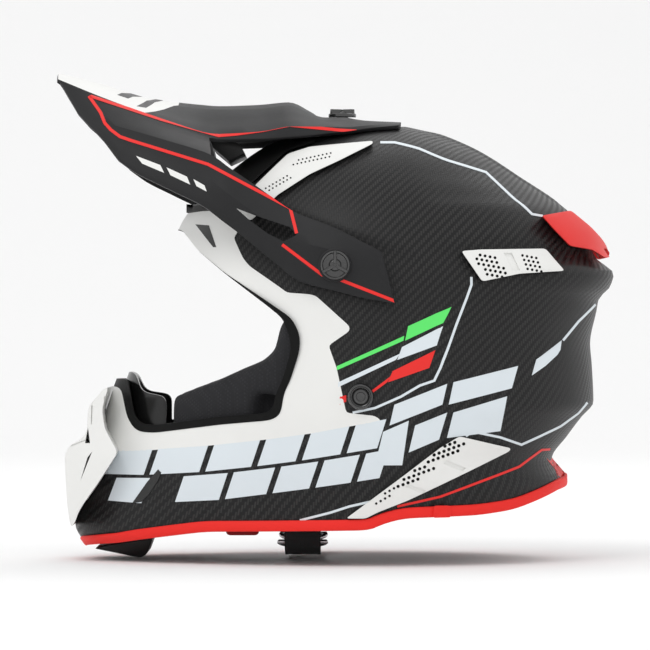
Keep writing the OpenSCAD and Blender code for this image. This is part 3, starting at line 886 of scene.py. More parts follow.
def base_end(p, side):
    """Points from p round to the middle of the helmet, along its bottom edge."""
    edge_x, edge_z = (-171.5, -158.8) if side < 0 else (139.6, -119.2)
    result = []
    steps = 12
    for k in range(1, steps + 1):
        y = p.y * math.cos(math.pi / 2 * k / steps)
        z = edge_z + (p.z - edge_z) * abs(y / p.y)
        c, w = float(slice_centre(z)), float(side_y(z))
        end = c - float(front_x(z)) if side < 0 else float(rear_x(z)) - c
        n = float(front_power(z)) if side < 0 else REAR_POWER
        x = c + side * end * (1 - min(1.0, abs(y) / w) ** n) ** (1 / n)
        result.append(Vector((x, y, z)))
    return list(reversed(result)) if side < 0 else result




# ---------------------------------------------------------------- turned parts and plates
def lathe(name, place_mm, axis, profile, material, steps=40, smooth=38.0):
    """A turned solid about an axis through a point. profile is (radius, height) from the base's middle."""
    turn = Vector((0, 0, 1)).rotation_difference(Vector(axis)).to_matrix()
    origin = Vector(place_mm)
    points, faces = [], []
    rings = []
    for r, h in profile:
        if r < 1e-6:
            rings.append([len(points)])
            points.append(origin + turn @ Vector((0, 0, h)))
        else:
            rings.append(list(range(len(points), len(points) + steps)))
            for k in range(steps):
                a = 2 * math.pi * k / steps
                points.append(origin + turn @ Vector((r * math.cos(a), r * math.sin(a), h)))
    count = len(rings)
    for k in range(count if len(rings[0]) > 1 else count - 1):
        a, b = rings[k], rings[(k + 1) % count]
        for i in range(steps):
            j = (i + 1) % steps
            if len(a) == 1 and len(b) > 1:
                faces.append([a[0], b[i], b[j]])
            elif len(b) == 1 and len(a) > 1:
                faces.append([a[i], b[0], a[j]])
            elif len(a) > 1 and len(b) > 1:
                faces.append([a[i], b[i], b[j], a[j]])
    obj = new_object(name, mesh_from(name, points, faces), material, smooth)
    fix_normals(obj)
    return obj


def bevelled(obj, width, segments=2, angle=30.0):
    """Rounds the sharp edges by width millimetres."""
    modifier = obj.modifiers.new("bevel", "BEVEL")
    modifier.width = width * MM
    modifier.segments = segments
    modifier.limit_method = "ANGLE"
    modifier.angle_limit = math.radians(angle)
    modifier.harden_normals = False
    modifier.use_clamp_overlap = True
    apply_modifiers(obj)
    soften(obj, 40)
    return obj


def bars(name, place_mm, axis, pieces, material, bevel=0.5):
    """Straight ribs on a turned part: (angle, from, to, half width, low, high) about the axis."""
    turn = Vector((0, 0, 1)).rotation_difference(Vector(axis)).to_matrix()
    origin = Vector(place_mm)
    points, faces = [], []
    for angle, start, end, half, low, high in pieces:
        spin = Matrix.Rotation(math.radians(angle), 3, "Z")
        base = len(points)
        for h in (low, high):
            shrink = 0.75 if h == high else 1.0
            for a, b in ((start, -half * shrink), (end, -half * shrink), (end, half * shrink),
                         (start, half * shrink)):
                points.append(origin + turn @ (spin @ Vector((a, b, h))))
        faces += [[base + i for i in f] for f in ((3, 2, 1, 0), (4, 5, 6, 7), (0, 1, 5, 4), (1, 2, 6, 5),
                                                  (2, 3, 7, 6), (3, 0, 4, 7))]
    obj = new_object(name, mesh_from(name, points, faces), material)
    fix_normals(obj)
    return bevelled(obj, bevel)


# ---------------------------------------------------------------- covers and vents
def hole_outlines(zone, pitch, size, lean=0.0, sides=6):
    """Outlines of small holes on a staggered grid inside a zone. lean turns the grid, in degrees."""
    turn = Matrix.Rotation(math.radians(lean), 2)
    back = Matrix.Rotation(math.radians(-lean), 2)
    flat = [back @ Vector(p) for p in zone]
    x0, x1 = min(p.x for p in flat), max(p.x for p in flat)
    z0, z1 = min(p.y for p in flat), max(p.y for p in flat)
    rows = int((z1 - z0) / (pitch * 0.87))
    columns = int((x1 - x0) / pitch)
    holes = []
    for r in range(rows + 1):
        for c in range(columns + 1):
            at = Vector((x0 + pitch * (c + 0.5 * (r % 2)), z0 + pitch * 0.87 * r))
            if inside(at, flat):
                middle = turn @ at
                holes.append([middle + turn @ (Vector((math.cos(a), math.sin(a))) * size / 2)
                              for a in np.linspace(0, 2 * math.pi, sides, endpoint=False)])
    return holes


def inside(p, outline):
    hit = False
    for a, b in zip(outline, outline[1:] + outline[:1]):
        if (a.y > p.y) != (b.y > p.y) and p.x < a.x + (b.x - a.x) * (p.y - a.y) / (b.y - a.y):
            hit = not hit
    return hit


def cover(name, outline, depth, material, side=0, holes=(), radius=2.0, bevel=0.7, grooves=()):
    """A moulded cover on the shell, cut to a side-view outline, with holes and shallow grooves."""
    ends = ENDS[side]
    obj = patch(name, -depth, -0.4, rounded(outline, radius), material, ends)
    for groove in grooves:
        combine(obj, patch("groove", -depth - 3, -depth + 1.0, groove, ends=ends), "DIFFERENCE")
    weld(obj)
    bevelled(obj, bevel, angle=40.0)
    if holes:
        combine(obj, prisms(list(holes), *ends), "DIFFERENCE")
    soften(obj, 40)
    return obj


SIDES = (("left", -1), ("right", 1))
ENDS = {0: THROUGH, -1: (-200, -3), 1: (3, 200)}
BROW_VENT = [
    (-73, 56), (-61, 72), (-48, 85), (-40, 93), (-26, 97.5), (14, 101), (14, 99), (-7, 88), (-26, 79),
    (-46, 66), (-63, 49.5)]
EXHAUST = [(69, 30), (81, 31), (123, 32), (135, 18), (106, 16), (82, 11)]
JAW_VENT = [
    (-3, -137.5), (31, -112), (56, -93), (68, -86), (101, -94), (100, -96), (36, -126), (17, -133.5),
    (9, -137.5)]
REAR_VENT = [
    (121, 53), (141, 57), (154, 47), (162.5, 39), (168.5, 32), (168, 28), (164, 26.5), (154, 32), (139, 34),
    (129, 44)]
INTAKE = [
    (-31, 125), (-104, 80), (-82, 76.5), (-63, 74), (-49, 87), (-41, 95), (-27, 99.5), (-22, 101),
    (-22, 125)]


def build_vents():
    brow_holes = (hole_outlines([(-40, 84), (-30, 91.5), (-11, 94), (-14, 89), (-28, 85)], 2.6, 1.3, 12)
                  + hole_outlines([(-56, 69), (-47, 76), (-36, 80), (-40, 73), (-50, 67.5)], 2.6, 1.3, 30))
    exhaust_holes = (hole_outlines([(76, 28), (90, 28), (101, 13.5), (86, 12.5)], 3.2, 2.1, -10)
                     + hole_outlines([(105, 28.5), (116, 28.5), (121, 17), (110, 16.5)], 3.0, 1.9, -10))
    jaw_holes = (hole_outlines([(47, -103), (57, -92), (65, -88), (75, -90), (62, -100)], 3.3, 2.4, 20)
                 + hole_outlines([(28, -118), (41, -104), (54, -105), (42, -113), (33, -119)], 3.3, 2.3, 20)
                 + hole_outlines([(12, -131), (22, -120), (29, -117), (26, -123), (18, -130)], 3.2, 1.8, 30))
    exhaust_groove = ((96, 29), (101, 29), (106, 18), (101, 18))
    jaw_grooves = [((58, -103), (60, -101), (72, -106), (70, -108)),
                   ((34, -117.5), (36, -116), (47, -120), (45, -122))]
    for tag, side in SIDES:
        for name, outline, holes, grooves in (("brow_vent", BROW_VENT, brow_holes, ()),
                                              ("exhaust", EXHAUST, exhaust_holes, [exhaust_groove]),
                                              ("jaw_vent", JAW_VENT, jaw_holes, jaw_grooves)):
            piece = cover(f"{name}_cover_{tag}", outline, 3.4, WHITE_PLASTIC, side, holes, grooves=grooves)
            place(piece, "helmet", f"{name}_{tag}", slot="white_plastic")
    rear = cover("rear_vent_scoop", REAR_VENT, 7.8, RED_PLASTIC, bevel=1.6)
    tunnels = [[(y0, 20), (y0 + 26, 20), (y0 + 26, 33), (y0, 33)] for y0 in (-32, 6)]
    combine(rear, prisms(tunnels, 150, 190, "x"), "DIFFERENCE")
    place(rear, "helmet", "rear_vent", slot="red_plastic")
    intake = cover("forehead_intake_cover", INTAKE, 2.4, BLACK_PLASTIC, radius=3.0)
    place(intake, "helmet", "forehead_intake", slot="black_plastic")


def build_trim_clips():
    clip = [(51.5, -137.2), (52, -129.5), (61.5, -129.5), (62.8, -131), (62.8, -137)]
    for tag, side in SIDES:
        piece = patch(f"trim_clip_cover_{tag}", -4, -2.3, rounded(clip, 1.5), RED_RUBBER, ENDS[side])
        weld(piece)
        bevelled(piece, 0.5, angle=40.0)
        place(piece, "helmet", f"trim_clip_{tag}", slot="red_rubber")


MOUTHPIECE = [
    (-155, -56), (-158, -57), (-168, -68), (-169, -74), (-169, -84), (-172, -89), (-181, -94), (-184, -100),
    (-183, -116), (-182, -130), (-180, -143), (-178.5, -146), (-176, -141.5), (-174.5, -137), (-171, -131),
    (-161, -117), (-148, -97), (-157, -82), (-159, -70)]


def build_mouthpiece():
    """The white nose of the chin bar: a wing over a deeper air box, with dark slots."""
    nose = patch("mouthpiece_nose", -20, -0.4, rounded(MOUTHPIECE, 3.0), WHITE_PLASTIC)
    inner = [(-172, -92), (-181, -97), (-181.5, -100), (-180.5, -130), (-177, -146), (-170, -130),
             (-163, -116), (-153, -98)]
    combine(nose, patch("hollow", -16, 2, rounded(inner, 2.0)), "DIFFERENCE")
    mouth = []
    for side in (-1, 1):
        mouth.append([(side * y, z) for y, z in ((5, -100), (22, -102), (18, -112), (5, -120))])
    combine(nose, prisms(mouth, -200, -140, "x"), "DIFFERENCE")
    weld(nose)
    bevelled(nose, 1.0, angle=40.0)
    slots = [((-168.4, -82), (-166.6, -92), (-170.2, -92)),
             ((-165.0, -97), (-168.2, -101), (-172.8, -116))]
    combine(nose, prisms(slots, -200, 200), "DIFFERENCE")
    creases = [[(-157.5, -62), (-156.5, -78), (-148.5, -94), (-147, -97)], [(-169.5, -90), (-183, -95.5)],
               [(-166, -68), (-166, -80)]]
    for crease in creases:
        combine(nose, patch("crease", -23, -19.3, stripe(crease, 0.8)), "DIFFERENCE")
    soften(nose, 35)
    place(nose, "helmet", "mouthpiece", slot="white_plastic")


def build_chin_vent():
    outline = [(-165, -160), (-155, -162), (-141, -165), (-135, -166), (-131, -164), (-127, -153.5),
               (-147, -156.5)]
    vent = prisms([rounded(outline, 2.0)], -33.5, 33.5)
    vent.name = "chin_vent_shoe"
    vent.data.materials.append(BLACK_PLASTIC)
    taper = [[(side * y, z) for y, z in ((40, -150), (34, -150), (28, -168), (40, -168))] for side in (-1, 1)]
    combine(vent, prisms(taper, -200, -100, "x"), "DIFFERENCE")
    bevelled(vent, 1.2)
    place(vent, "helmet", "chin_vent", slot="black_plastic")


# ---------------------------------------------------------------- the peak
PEAK_ROWS = [
    [(-189, 0, 147.35), (-188.5, -20, 146), (-187, -46, 141), (-183, -50, 135), (-173.5, -63, 118.5),
     (-161, -76, 106), (-147, -86, 88)],
    [(-162, 0, 140.5), (-161, -20, 138), (-158, -51, 129), (-157.5, -55, 126), (-155, -72, 112),
     (-146, -83, 97), (-136, -91, 80)],
    [(-130, 0, 131), (-129, -20, 128), (-121, -56, 115.5), (-121, -60, 113), (-118, -82, 101),
     (-117, -93, 86), (-116, -98, 70)],
    [(-98, 0, 127), (-97, -20, 123), (-91, -57, 106), (-90, -61, 103), (-88, -90, 91),
     (-89, -100, 75), (-92, -104, 58)],
    [(-84, 0, 126), (-84, -20, 122.5), (-84, -56, 105.5), (-82, -60, 102), (-76, -96, 82.5),
     (-78, -105, 67), (-82, -105.5, 50)],
    [(-60, 0, 126.8), (-60, -18, 123), (-58, -54, 107), (-57, -58, 102.5), (-62, -101, 73),
     (-66, -108, 58), (-70, -108, 41)],
    [(-40, 0, 128.5), (-40, -16, 125.5), (-38, -50, 110.5), (-38, -54, 104), (-38, -110, 56),
     (-42, -114, 42), (-48, -114, 23)],
    [(-26, 0, 122.5), (-26, -15, 120.5), (-26, -48, 110.5), (-26, -52, 105), (-32, -113, 53),
     (-32, -119.5, 36), (-32, -120, 11)],
    [(-16, 0, 117.2), (-16, -15, 118), (-13, -46, 110.5), (-13, -49, 106.5), (-9, -121, 44),
     (-10, -126.5, 30), (-10, -126, 5)],
    [(-5, 0, 117.4), (-5, -15, 118), (-3, -43, 110.5), (-3, -46, 107.5), (8, -126, 35),
     (9, -128.5, 24), (10, -128.5, 0)],
    [(10, 0, 115.4), (10, -14, 116), (12, -36, 112), (12, -39, 110), (14, -127.5, 32),
     (17, -129.5, 18), (19, -129.5, -1.5)],
    [(33, 0, 115.2), (33, -12, 115), (32, -29, 113.2), (31, -33, 112.2), (19, -128.2, 29),
     (23, -130, 14), (27, -130, -3)]]
HOOD_ROWS = 3
PEAK_SKIN = 2.5
PEAK_FINE = 5


def rail(points, fine):
    """A smooth line through points with no overshoot, with fine steps in each gap."""
    points = np.array(points, float)
    table = [smooth_line([(k, p[c]) for k, p in enumerate(points)]) for c in range(3)]
    t = np.linspace(0, len(points) - 1, (len(points) - 1) * fine + 1)
    return np.stack([table[c](t) for c in range(3)], axis=-1)


def peak_skin():
    """The peak's surface as a grid of points, with a table of the cells that are there."""
    across = 3
    rails = [rail([r[j] for r in PEAK_ROWS], PEAK_FINE) for j in range(7)]
    columns, column_of = [], []
    for j in range(6):
        for k in range(across):
            f = k / across
            columns.append(rails[j] * (1 - f) + rails[j + 1] * f)
            column_of.append(j)
    columns.append(rails[6])
    half = np.stack(columns, axis=1)
    left = half[:, ::-1]
    right = half[:, 1:] * np.array([1, -1, 1])
    grid = np.concatenate([left, right], axis=1)
    panel = column_of[::-1] + column_of
    rows, cols = grid.shape[0], grid.shape[1]
    shown = np.ones((rows - 1, cols - 1), bool)
    for c in range(cols - 1):
        if panel[c] == 3:
            shown[HOOD_ROWS * PEAK_FINE:, c] = False
    return grid, shown


def grid_solid(name, grid, shown, lift, low, material):
    """A closed skin over the shown cells of a grid, from lift above it to low below it."""
    rows, cols = grid.shape[:2]
    normals = np.zeros_like(grid)
    for i, j in np.argwhere(shown):
        a, b, c, d = grid[i, j], grid[i, j + 1], grid[i + 1, j + 1], grid[i + 1, j]
        n = np.cross(c - a, b - d)
        for p in ((i, j), (i, j + 1), (i + 1, j + 1), (i + 1, j)):
            normals[p] += n
    length = np.linalg.norm(normals, axis=-1, keepdims=True)
    normals = normals / np.where(length < 1e-9, 1, length)
    if normals[2, cols // 2, 2] < 0:
        normals = -normals
    outer = (grid + normals * lift).reshape(-1, 3)
    inner = (grid - normals * low).reshape(-1, 3)
    k = rows * cols
    faces = []

    def has(i, j):
        return 0 <= i < rows - 1 and 0 <= j < cols - 1 and shown[i, j]

    for i, j in np.argwhere(shown):
        a, b = i * cols + j, i * cols + j + 1
        c, d = a + cols, b + cols
        faces += [[a, b, d, c], [a + k, c + k, d + k, b + k]]
        for there, p, q in ((has(i - 1, j), b, a), (has(i + 1, j), c, d), (has(i, j - 1), a, c),
                            (has(i, j + 1), d, b)):
            if not there:
                faces.append([p, q, q + k, p + k])
    points = np.concatenate([outer, inner])
    mesh = mesh_from(name, points, faces)
    work = bmesh.new()
    work.from_mesh(mesh)
    bmesh.ops.delete(work, geom=[v for v in work.verts if not v.link_faces], context="VERTS")
    bmesh.ops.recalc_face_normals(work, faces=work.faces)
    work.to_mesh(mesh)
    work.free()
    return new_object(name, mesh, material, smooth=25.0)


DUCT = [(-92, 107), (-88, 97), (-78, 88.5), (-67.5, 93.5), (-70, 98.5), (-82, 107)]
DUCT_HOLLOW = [(-89, 110), (-85.4, 98.4), (-77.5, 91.6), (-71, 94.6), (-72.5, 98), (-83, 110)]
DUCT_HALF = 50
ARM_WINDOW = [(-72, 57), (-59, 52), (-38, 45), (-34, 40), (-42, 36), (-52, 41), (-63, 49)]


def build_peak():
    grid, shown = peak_skin()
    peak = grid_solid("peak_shell", grid, shown, 0.0, PEAK_SKIN, PEAK_PLASTIC)
    weld(peak)
    bevelled(peak, 0.8, segments=2, angle=22.0)
    for _, side in SIDES:
        boss = lathe("boss", (PIVOT[0], side * 123.4, PIVOT[2]), (0, side, 0),
                     [(0, 0), (10.5, 0), (10.5, 4.2), (9.7, 5.0), (0, 5.0)], PEAK_PLASTIC)
        combine(peak, boss, "UNION")
    slot = [(TOP_SCREW_X + x + COLLAR_BORE * math.cos(a), COLLAR_BORE * math.sin(a))
            for x, low, high in ((0, 90, 270), (11, -90, 90))
            for a in np.radians(np.linspace(low, high, 14))]
    combine(peak, prisms([slot], 100, 130, "z"), "DIFFERENCE")
    combine(peak, prisms([ARM_WINDOW], *THROUGH), "DIFFERENCE")
    combine(peak, prisms([disc(PIVOT[0], PIVOT[2], COLLAR_BORE)], *THROUGH), "DIFFERENCE")
    soften(peak, 28)
    place(peak, "peak_body", "peak", slot="peak_plastic")
    duct = prisms([DUCT], -DUCT_HALF, DUCT_HALF)
    duct.name = "peak_air_duct"
    duct.data.materials.append(BLACK_PLASTIC)
    inner = DUCT_HALF - PEAK_SKIN
    combine(duct, prisms([DUCT_HOLLOW], -inner, inner), "DIFFERENCE")
    place(bevelled(duct, 0.5), "peak_body", slot="peak_plastic")
    print_peak(grid, shown)


def peak_film(name, grid, cells, outlines, material, lift, low=0.04, axis="y"):
    """A printed film over some cells of the peak, cut to outlines in side view or from above."""
    film = cut_to(grid_solid(name, grid, cells, lift, -low, material), outlines, axis)
    weld(film)
    soften(film, 40)
    return place(film, "peak_body", slot="peak_plastic")


def print_peak(grid, shown):
    rows, cols = shown.shape
    panel = np.zeros((rows, cols), int)
    for c in range(cols):
        panel[:, c] = (abs(c - (cols - 1) / 2) - 0.5) // 3
    top = shown & (panel <= 1)
    sides = shown & (panel >= 2)
    low_sides = shown & (panel >= 4)
    white = [(-195, -60), (-134, -60), (-111, -14), (-111, 14), (-134, 60), (-195, 60)]
    peak_film("peak_white_top", grid, top, [white], WHITE_PAINT, 0.08, axis="z")
    bars_on_top = [[(-150, -30), (-143, -30), (-128, 26), (-136, 26)],
                   [(-137, -44), (-131, -40), (-119, 10), (-124, 10)]]
    peak_film("peak_top_marks", grid, top, bars_on_top, BLACK_PAINT, 0.14, low=0.09, axis="z")
    lines = [[(-166, 130), (-121, 115), (-84, 104.5), (-73, 105.5), (-56, 108), (-39, 111.5), (-7, 108.5),
              (4, 108)],
             [(-167, 130), (-159, 119), (-156, 112), (-152, 107.5), (-146, 103), (-139, 100.5), (-90, 85),
              (-38, 57), (-34, 41)],
             [(-43, 34), (-18, 15), (-7, 12), (27.5, -1.5)]]
    peak_film("peak_red_lines", grid, sides, [stripe(line, 2.0) for line in lines], RED_PAINT, 0.20)
    marks = [[(-135.5, 90.5), (-120, 84.5), (-117.5, 79.5), (-131.5, 85.5)],
             [(-116, 83), (-103, 77), (-101, 72), (-113.5, 78)],
             [(-99, 75.5), (-92, 71.5), (-90.5, 67.5), (-97, 71)]]
    peak_film("peak_side_marks", grid, low_sides, marks, WHITE_PAINT, 0.20)
    step = [(-161, 99), (-158, 104), (-148, 92), (-143, 82), (-146, 82), (-151, 85)]
    peak_film("peak_side_step", grid, low_sides, [step], BLACK_PLASTIC, 0.5)


def build_thumb_screw(name, place_mm, axis, body, node, shank, collar):
    """A black thumb screw: a dished head with three wings, its collar and shank."""
    head = lathe(name, place_mm, axis,
                 [(0, -shank - collar), (2.95, -shank - collar), (2.95, -collar), (4, -collar), (4, 0),
                  (8.6, 0), (9, 0.4), (9, 2.0), (8.5, 2.5), (7.9, 2.4), (7.4, 1.2), (4.0, 0.9),
                  (3.4, 3.2), (2.8, 3.7), (0, 3.8)], GLOSS_PLASTIC)
    wings = bars(name + "_wings", place_mm, axis,
                 [(a, 0.8, 8.7, 1.3, 0.7, 5.3) for a in (90, 210, 330)], BLACK_PLASTIC, bevel=0.4)
    combine(head, wings, "UNION")
    soften(head, 40)
    return place(head, body, node, slot="black_plastic")


def build_screws():
    for tag, side in SIDES:
        build_thumb_screw(f"side_screw_{tag}", (PIVOT[0], side * 128.8, PIVOT[2]), (0, side, 0),
                          f"{tag}_screw", f"peak_screw_{tag}", 5.4, 5.6)
        plug = lathe(f"side_plug_cap_{tag}", (PLUG[0], side * PLUG[1], PLUG[2]), (0, side, 0),
                     [(0, 0), (5, 0), (5, 3.9), (7.6, 3.9), (8.2, 4.4), (8.2, 5.2), (7.6, 6.0), (6.6, 6.1),
                      (6.2, 5.2), (5.6, 4.9), (5.0, 5.3), (4.4, 6.0), (3.0, 6.1), (2.6, 5.4), (0, 5.2)],
                     GLOSS_PLASTIC)
        place(plug, "helmet", f"side_plug_{tag}", slot="black_plastic")
        insert = lathe(f"side_insert_{tag}", (PIVOT[0], side * 117.4, PIVOT[2]), (0, side, 0),
                       [(3, 0), (5.5, 0), (5.95, 0.4), (5.95, 3.6), (5.5, 4.1), (3, 4.1)], BRASS)
        place(insert, "helmet", f"insert_{tag}", slot="brass_insert")
    build_thumb_screw("top_screw", (TOP_SCREW_X, 0, 118.6), (0, 0, 1), "top_screw", "peak_screw_top", 7.2,
                      4.3)
    insert = lathe("top_insert", (TOP_SCREW_X, 0, 106.6), (0, 0, 1),
                   [(3, 0), (5.5, 0), (5.95, 0.4), (5.95, 6.9), (5.5, 7.4), (3, 7.4)], BRASS)
    place(insert, "helmet", "insert_top", slot="brass_insert")


# ---------------------------------------------------------------- liners and pads
CROWN_REGION = [
    (-240, 55), (-103, 55), (-74, 27), (-44, 5), (-18, 2), (6, -26), (20, -66), (28, -98), (240, -98),
    (240, 140), (-240, 140)]
CROWN_INNER = [
    (-240, 60), (-101, 60), (-72, 33), (-42, 10.5), (-15, 7), (11, -25), (25, -66), (32.5, -93), (240, -93),
    (240, 135), (-240, 135)]
CHIN_REGION = [(-240, -90), (-121, -90), (-121, -140), (-240, -148)]
NECK_REGION = [
    (22, -103), (18, -131), (80, -127), (103, -124), (120, -118), (240, -95), (240, -90), (140, -103)]
NOSE_REGION = [
    (-158, -60), (-150, -50), (-143, -46), (-138, -48), (-134, -59), (-117.5, -62), (-117.5, -84),
    (-165, -84)]


def pad(name, t_out, t_in, outline, material, radius=4.0, count=140):
    """A liner or pad under the shell, cut to a side-view outline."""
    return weld(patch(name, t_out, t_in, rounded(outline, radius), material, count=count))


def puff(obj, voxel, cap, pressure=4.0):
    """Fills a pad like a cushion: remesh, inflate as cloth, hold back how far it moves, smooth it once."""
    remesh = obj.modifiers.new("remesh", "REMESH")
    remesh.mode = "VOXEL"
    remesh.voxel_size = voxel * MM
    apply_modifiers(obj)
    rest = vertex_values(obj.data)
    cloth = obj.modifiers.new("cloth", "CLOTH")
    cloth.settings.use_pressure = True
    cloth.settings.uniform_pressure_force = pressure
    cloth.settings.effector_weights.gravity = 0.0
    cloth.settings.quality = 5
    cloth.collision_settings.use_collision = False
    scene = bpy.context.scene
    for frame_number in range(1, 21):
        scene.frame_set(frame_number)
    graph = bpy.context.evaluated_depsgraph_get()
    shift = vertex_values(obj.evaluated_get(graph).data) - rest
    far = np.linalg.norm(shift, axis=1, keepdims=True)
    shift *= np.minimum(1.0, cap * MM / np.maximum(far, 1e-9))
    obj.modifiers.clear()
    scene.frame_set(1)
    obj.data.vertices.foreach_set("co", (rest + shift).ravel())
    smooth = obj.modifiers.new("smooth", "SMOOTH")
    smooth.factor = 0.5
    smooth.iterations = 3
    fine = obj.modifiers.new("fine", "SUBSURF")
    fine.levels = 1
    fine.render_levels = 1
    apply_modifiers(obj)
    obj.data.shade_smooth()
    return obj


def shifted(obj, amount):
    """Moves every point by a function of its place in millimetres and its normal."""
    mesh = obj.data
    co = vertex_values(mesh) / MM
    co = co + vertex_values(mesh, "normal") * amount(co)[:, None]
    mesh.vertices.foreach_set("co", (co * MM).ravel())
    mesh.update()
    return obj


def groove(distance, width, depth):
    """A sewn channel's depth at a distance from its line."""
    return -depth * np.exp(-(distance / width) ** 2)


def build_liners():
    foam = pad("impact_liner", 3.4, 26, CROWN_REGION, BEAD_FOAM)
    soften(foam, 40)
    place(foam, "helmet", "eps_liner", slot="impact_foam")

    lining = pad("crown_lining", 26.6, 32.0, CROWN_INNER, LINING)
    puff(lining, 3.5, 1.2, pressure=2.0)

    def crown_seams(co):
        x, y, z = co.T
        lines = groove(np.abs(y) - 26, 3.0, 1.6) + groove(np.abs(y) - 62, 3.0, 1.6)
        return lines + groove(x - 40, 3.0, 1.2) + groove(x + 30, 3.0, 1.2)

    shifted(lining, crown_seams)
    place(lining, "helmet", "comfort_liner", slot="lining")

    chin = pad("chin_foam", 3.4, 16, CHIN_REGION, BLACK_FOAM)
    bevelled(chin, 1.5, angle=40.0)
    place(chin, "helmet", "chin_liner", slot="black_foam")

    roll = pad("neck_roll_pad", 8.0, 26.5, NECK_REGION, NECK_CLOTH)
    puff(roll, 4.5, 2.0)
    place(roll, "helmet", "neck_roll", slot="black_fabric")

    guard = pad("nose_guard_flap", 6.5, 12.8, NOSE_REGION, GUARD_RUBBER, radius=5.0, count=220)
    bridge = [(-120, -32), (-60, -32), (-60, 32), (-120, 32)]
    combine(guard, prisms([bridge], -230, 200, "z"), "DIFFERENCE")
    bevelled(guard, 1.4, angle=40.0)
    place(guard, "helmet", "nose_guard", slot="black_rubber")


def copy_of(name, node, material):
    """A new object with a CAD node's mesh."""
    obj = new_object(name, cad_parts[node].data.copy(), smooth=None)
    obj.data.materials.clear()
    obj.data.materials.append(material)
    return obj


def build_cheek_pads():
    for tag, side in SIDES:
        cushion = weld(copy_of(f"cheek_cushion_{tag}", f"cheek_pad_{tag}", PAD_MESH))
        shifted(cushion, lambda co: np.full(len(co), -1.2))
        puff(cushion, 4.5, 3.0)
        place(cushion, "helmet", f"cheek_pad_{tag}", slot="pad_fabric")


# ---------------------------------------------------------------- chin strap
STRAP_X = -30.5
STRAP_Y = 91
STRAP_WIDTH = 23
RIVET_Z = -72
RING_Y = 56
RING_Z = -154.4
RING_R = 15
WIRE_R = 1.5


def strap_path():
    sag = []
    for i in range(41):
        f = -math.cos(math.pi * i / 40)
        sag.append((f * (STRAP_Y + 1), -128 - 37 * (1 - f * f) ** 0.42))
    middle = [Vector((y, z)) for y, z in sag]
    start = [Vector((-STRAP_Y - 1, z)) for z in np.linspace(-60.5, -125, 14)]
    end = [Vector((STRAP_Y + 1, z)) for z in np.linspace(-125, -60.5, 14)]
    return start + middle + end


def build_strap():
    """Webbing with thick sewn edges, hung between its two rivets."""
    line = strap_path()
    stations = []
    for i, p in enumerate(line):
        along = (line[min(i + 1, len(line) - 1)] - line[max(i - 1, 0)]).normalized()
        out = Vector((0, along.y, -along.x))
        stations.append((Vector((STRAP_X, p.x, p.y)), out.normalized(), Vector((1, 0, 0))))
    half = STRAP_WIDTH / 2
    profile = [(0.05, -half + 0.5), (-0.05, -half + 0.1), (-0.9, -half), (-1.8, -half + 0.1),
               (-1.95, -half + 0.6),
               (-1.95, -half + 2.0), (-1.75, -half + 2.6), (-1.75, half - 2.6), (-1.95, half - 2.0),
               (-1.95, half - 0.6), (-1.8, half - 0.1), (-0.9, half), (-0.05, half - 0.1), (0.05, half - 0.5),
               (0.05, half - 2.0), (-0.12, half - 2.6), (-0.12, -half + 2.6), (0.05, -half + 2.0)]
    strap = sweep("chin_strap_webbing", stations, profile, WEBBING, closed=False)
    combine(strap, prisms([disc(STRAP_X, RIVET_Z, COLLAR_BORE)], -100, 100), "DIFFERENCE")
    for _, side in SIDES:
        loop = lathe("loop", (STRAP_X - 10, side * RING_Y, RING_Z), (1, 0, 0),
                     [(1.56, 0), (2.4, 0), (2.7, 0.3), (2.7, 19.7), (2.4, 20), (1.56, 20)], WEBBING, steps=24)
        combine(strap, loop, "UNION")
        combine(strap, lathe("bore", (STRAP_X - 12, side * RING_Y, RING_Z), (1, 0, 0),
                             [(0, 0), (1.56, 0), (1.56, 24), (0, 24)], WEBBING, steps=24), "DIFFERENCE")
    soften(strap, 45)
    place(strap, "strap", "chin_strap", slot="webbing")


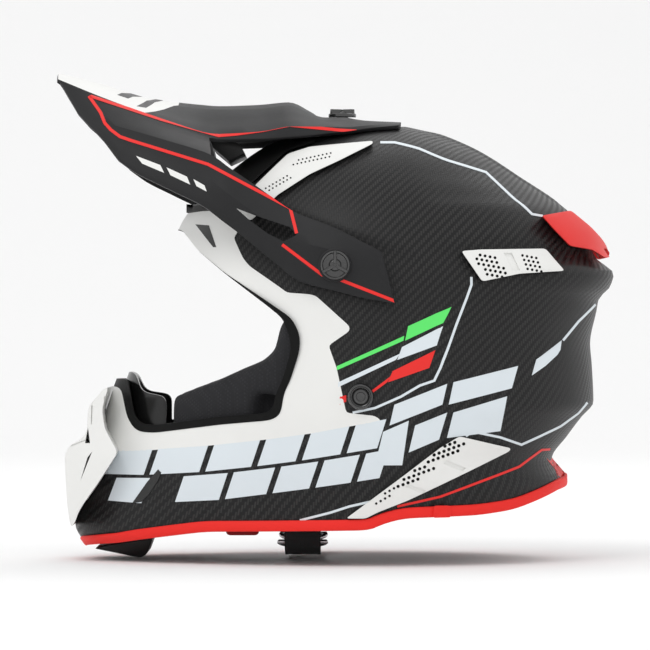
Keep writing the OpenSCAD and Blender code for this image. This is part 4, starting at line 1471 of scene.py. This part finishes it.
def build_rings():
    """Steel D-rings: a straight bar and a half round, in one closed wire."""
    for tag, side in SIDES:
        path = [Vector((x, 0, 0)) for x in np.linspace(-RING_R, RING_R, 9)]
        for a in np.linspace(0, math.pi, 25)[1:-1]:
            path.append(Vector((RING_R * math.cos(a), -side * RING_R * math.sin(a), 0)))
        tilt = Matrix.Rotation(math.radians(side * 12), 3, "X")
        origin = Vector((STRAP_X, side * RING_Y, RING_Z))
        stations = []
        count = len(path)
        for i, p in enumerate(path):
            along = (path[(i + 1) % count] - path[i - 1]).normalized()
            flat = Vector((0, 0, 1))
            stations.append((origin + tilt @ p, tilt @ flat, tilt @ along.cross(flat)))
        wire = [(WIRE_R * 0.98 * math.cos(a), WIRE_R * 0.98 * math.sin(a))
                for a in np.linspace(0, 2 * math.pi, 14, endpoint=False)]
        ring = sweep(f"strap_ring_{tag}", stations, wire, STEEL)
        place(ring, f"{tag}_ring", f"d_ring_{tag}", slot="steel")


def build_rivets():
    for tag, side in SIDES:
        rivet = lathe(f"strap_rivet_head_{tag}", (STRAP_X, side * 87.4, RIVET_Z), (0, side, 0),
                      [(0, 0), (4, 0.1), (6, 0.7), (6.5, 1.6), (4, 1.6), (4, 5.2), (6.5, 5.2), (6.5, 17.6),
                       (4, 17.6), (4, 20.8), (0, 20.8)], STEEL)
        place(rivet, "helmet", f"strap_rivet_{tag}", slot="steel")
        tab = prisms([rounded([(-79, -149.5), (-58, -149.5), (-58, -136.3), (-79, -136.3)], 3.0)],
                     *((75, 77) if side > 0 else (-77, -75)))
        tab.name = f"pull_tab_loop_{tag}"
        tab.data.materials.append(TAB_WEBBING)
        bevelled(tab, 0.5)
        place(tab, "helmet", f"pull_tab_{tag}", slot="tab_webbing")


def finish_grille():
    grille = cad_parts["mouth_grille"]
    grille.data.materials.clear()
    grille.data.materials.append(BLACK_PLASTIC)


build_gasket()
build_base_trim()
build_vents()
build_trim_clips()
build_mouthpiece()
build_chin_vent()
build_peak()
build_screws()
build_liners()
build_cheek_pads()
build_strap()
build_rings()
build_rivets()
finish_grille()
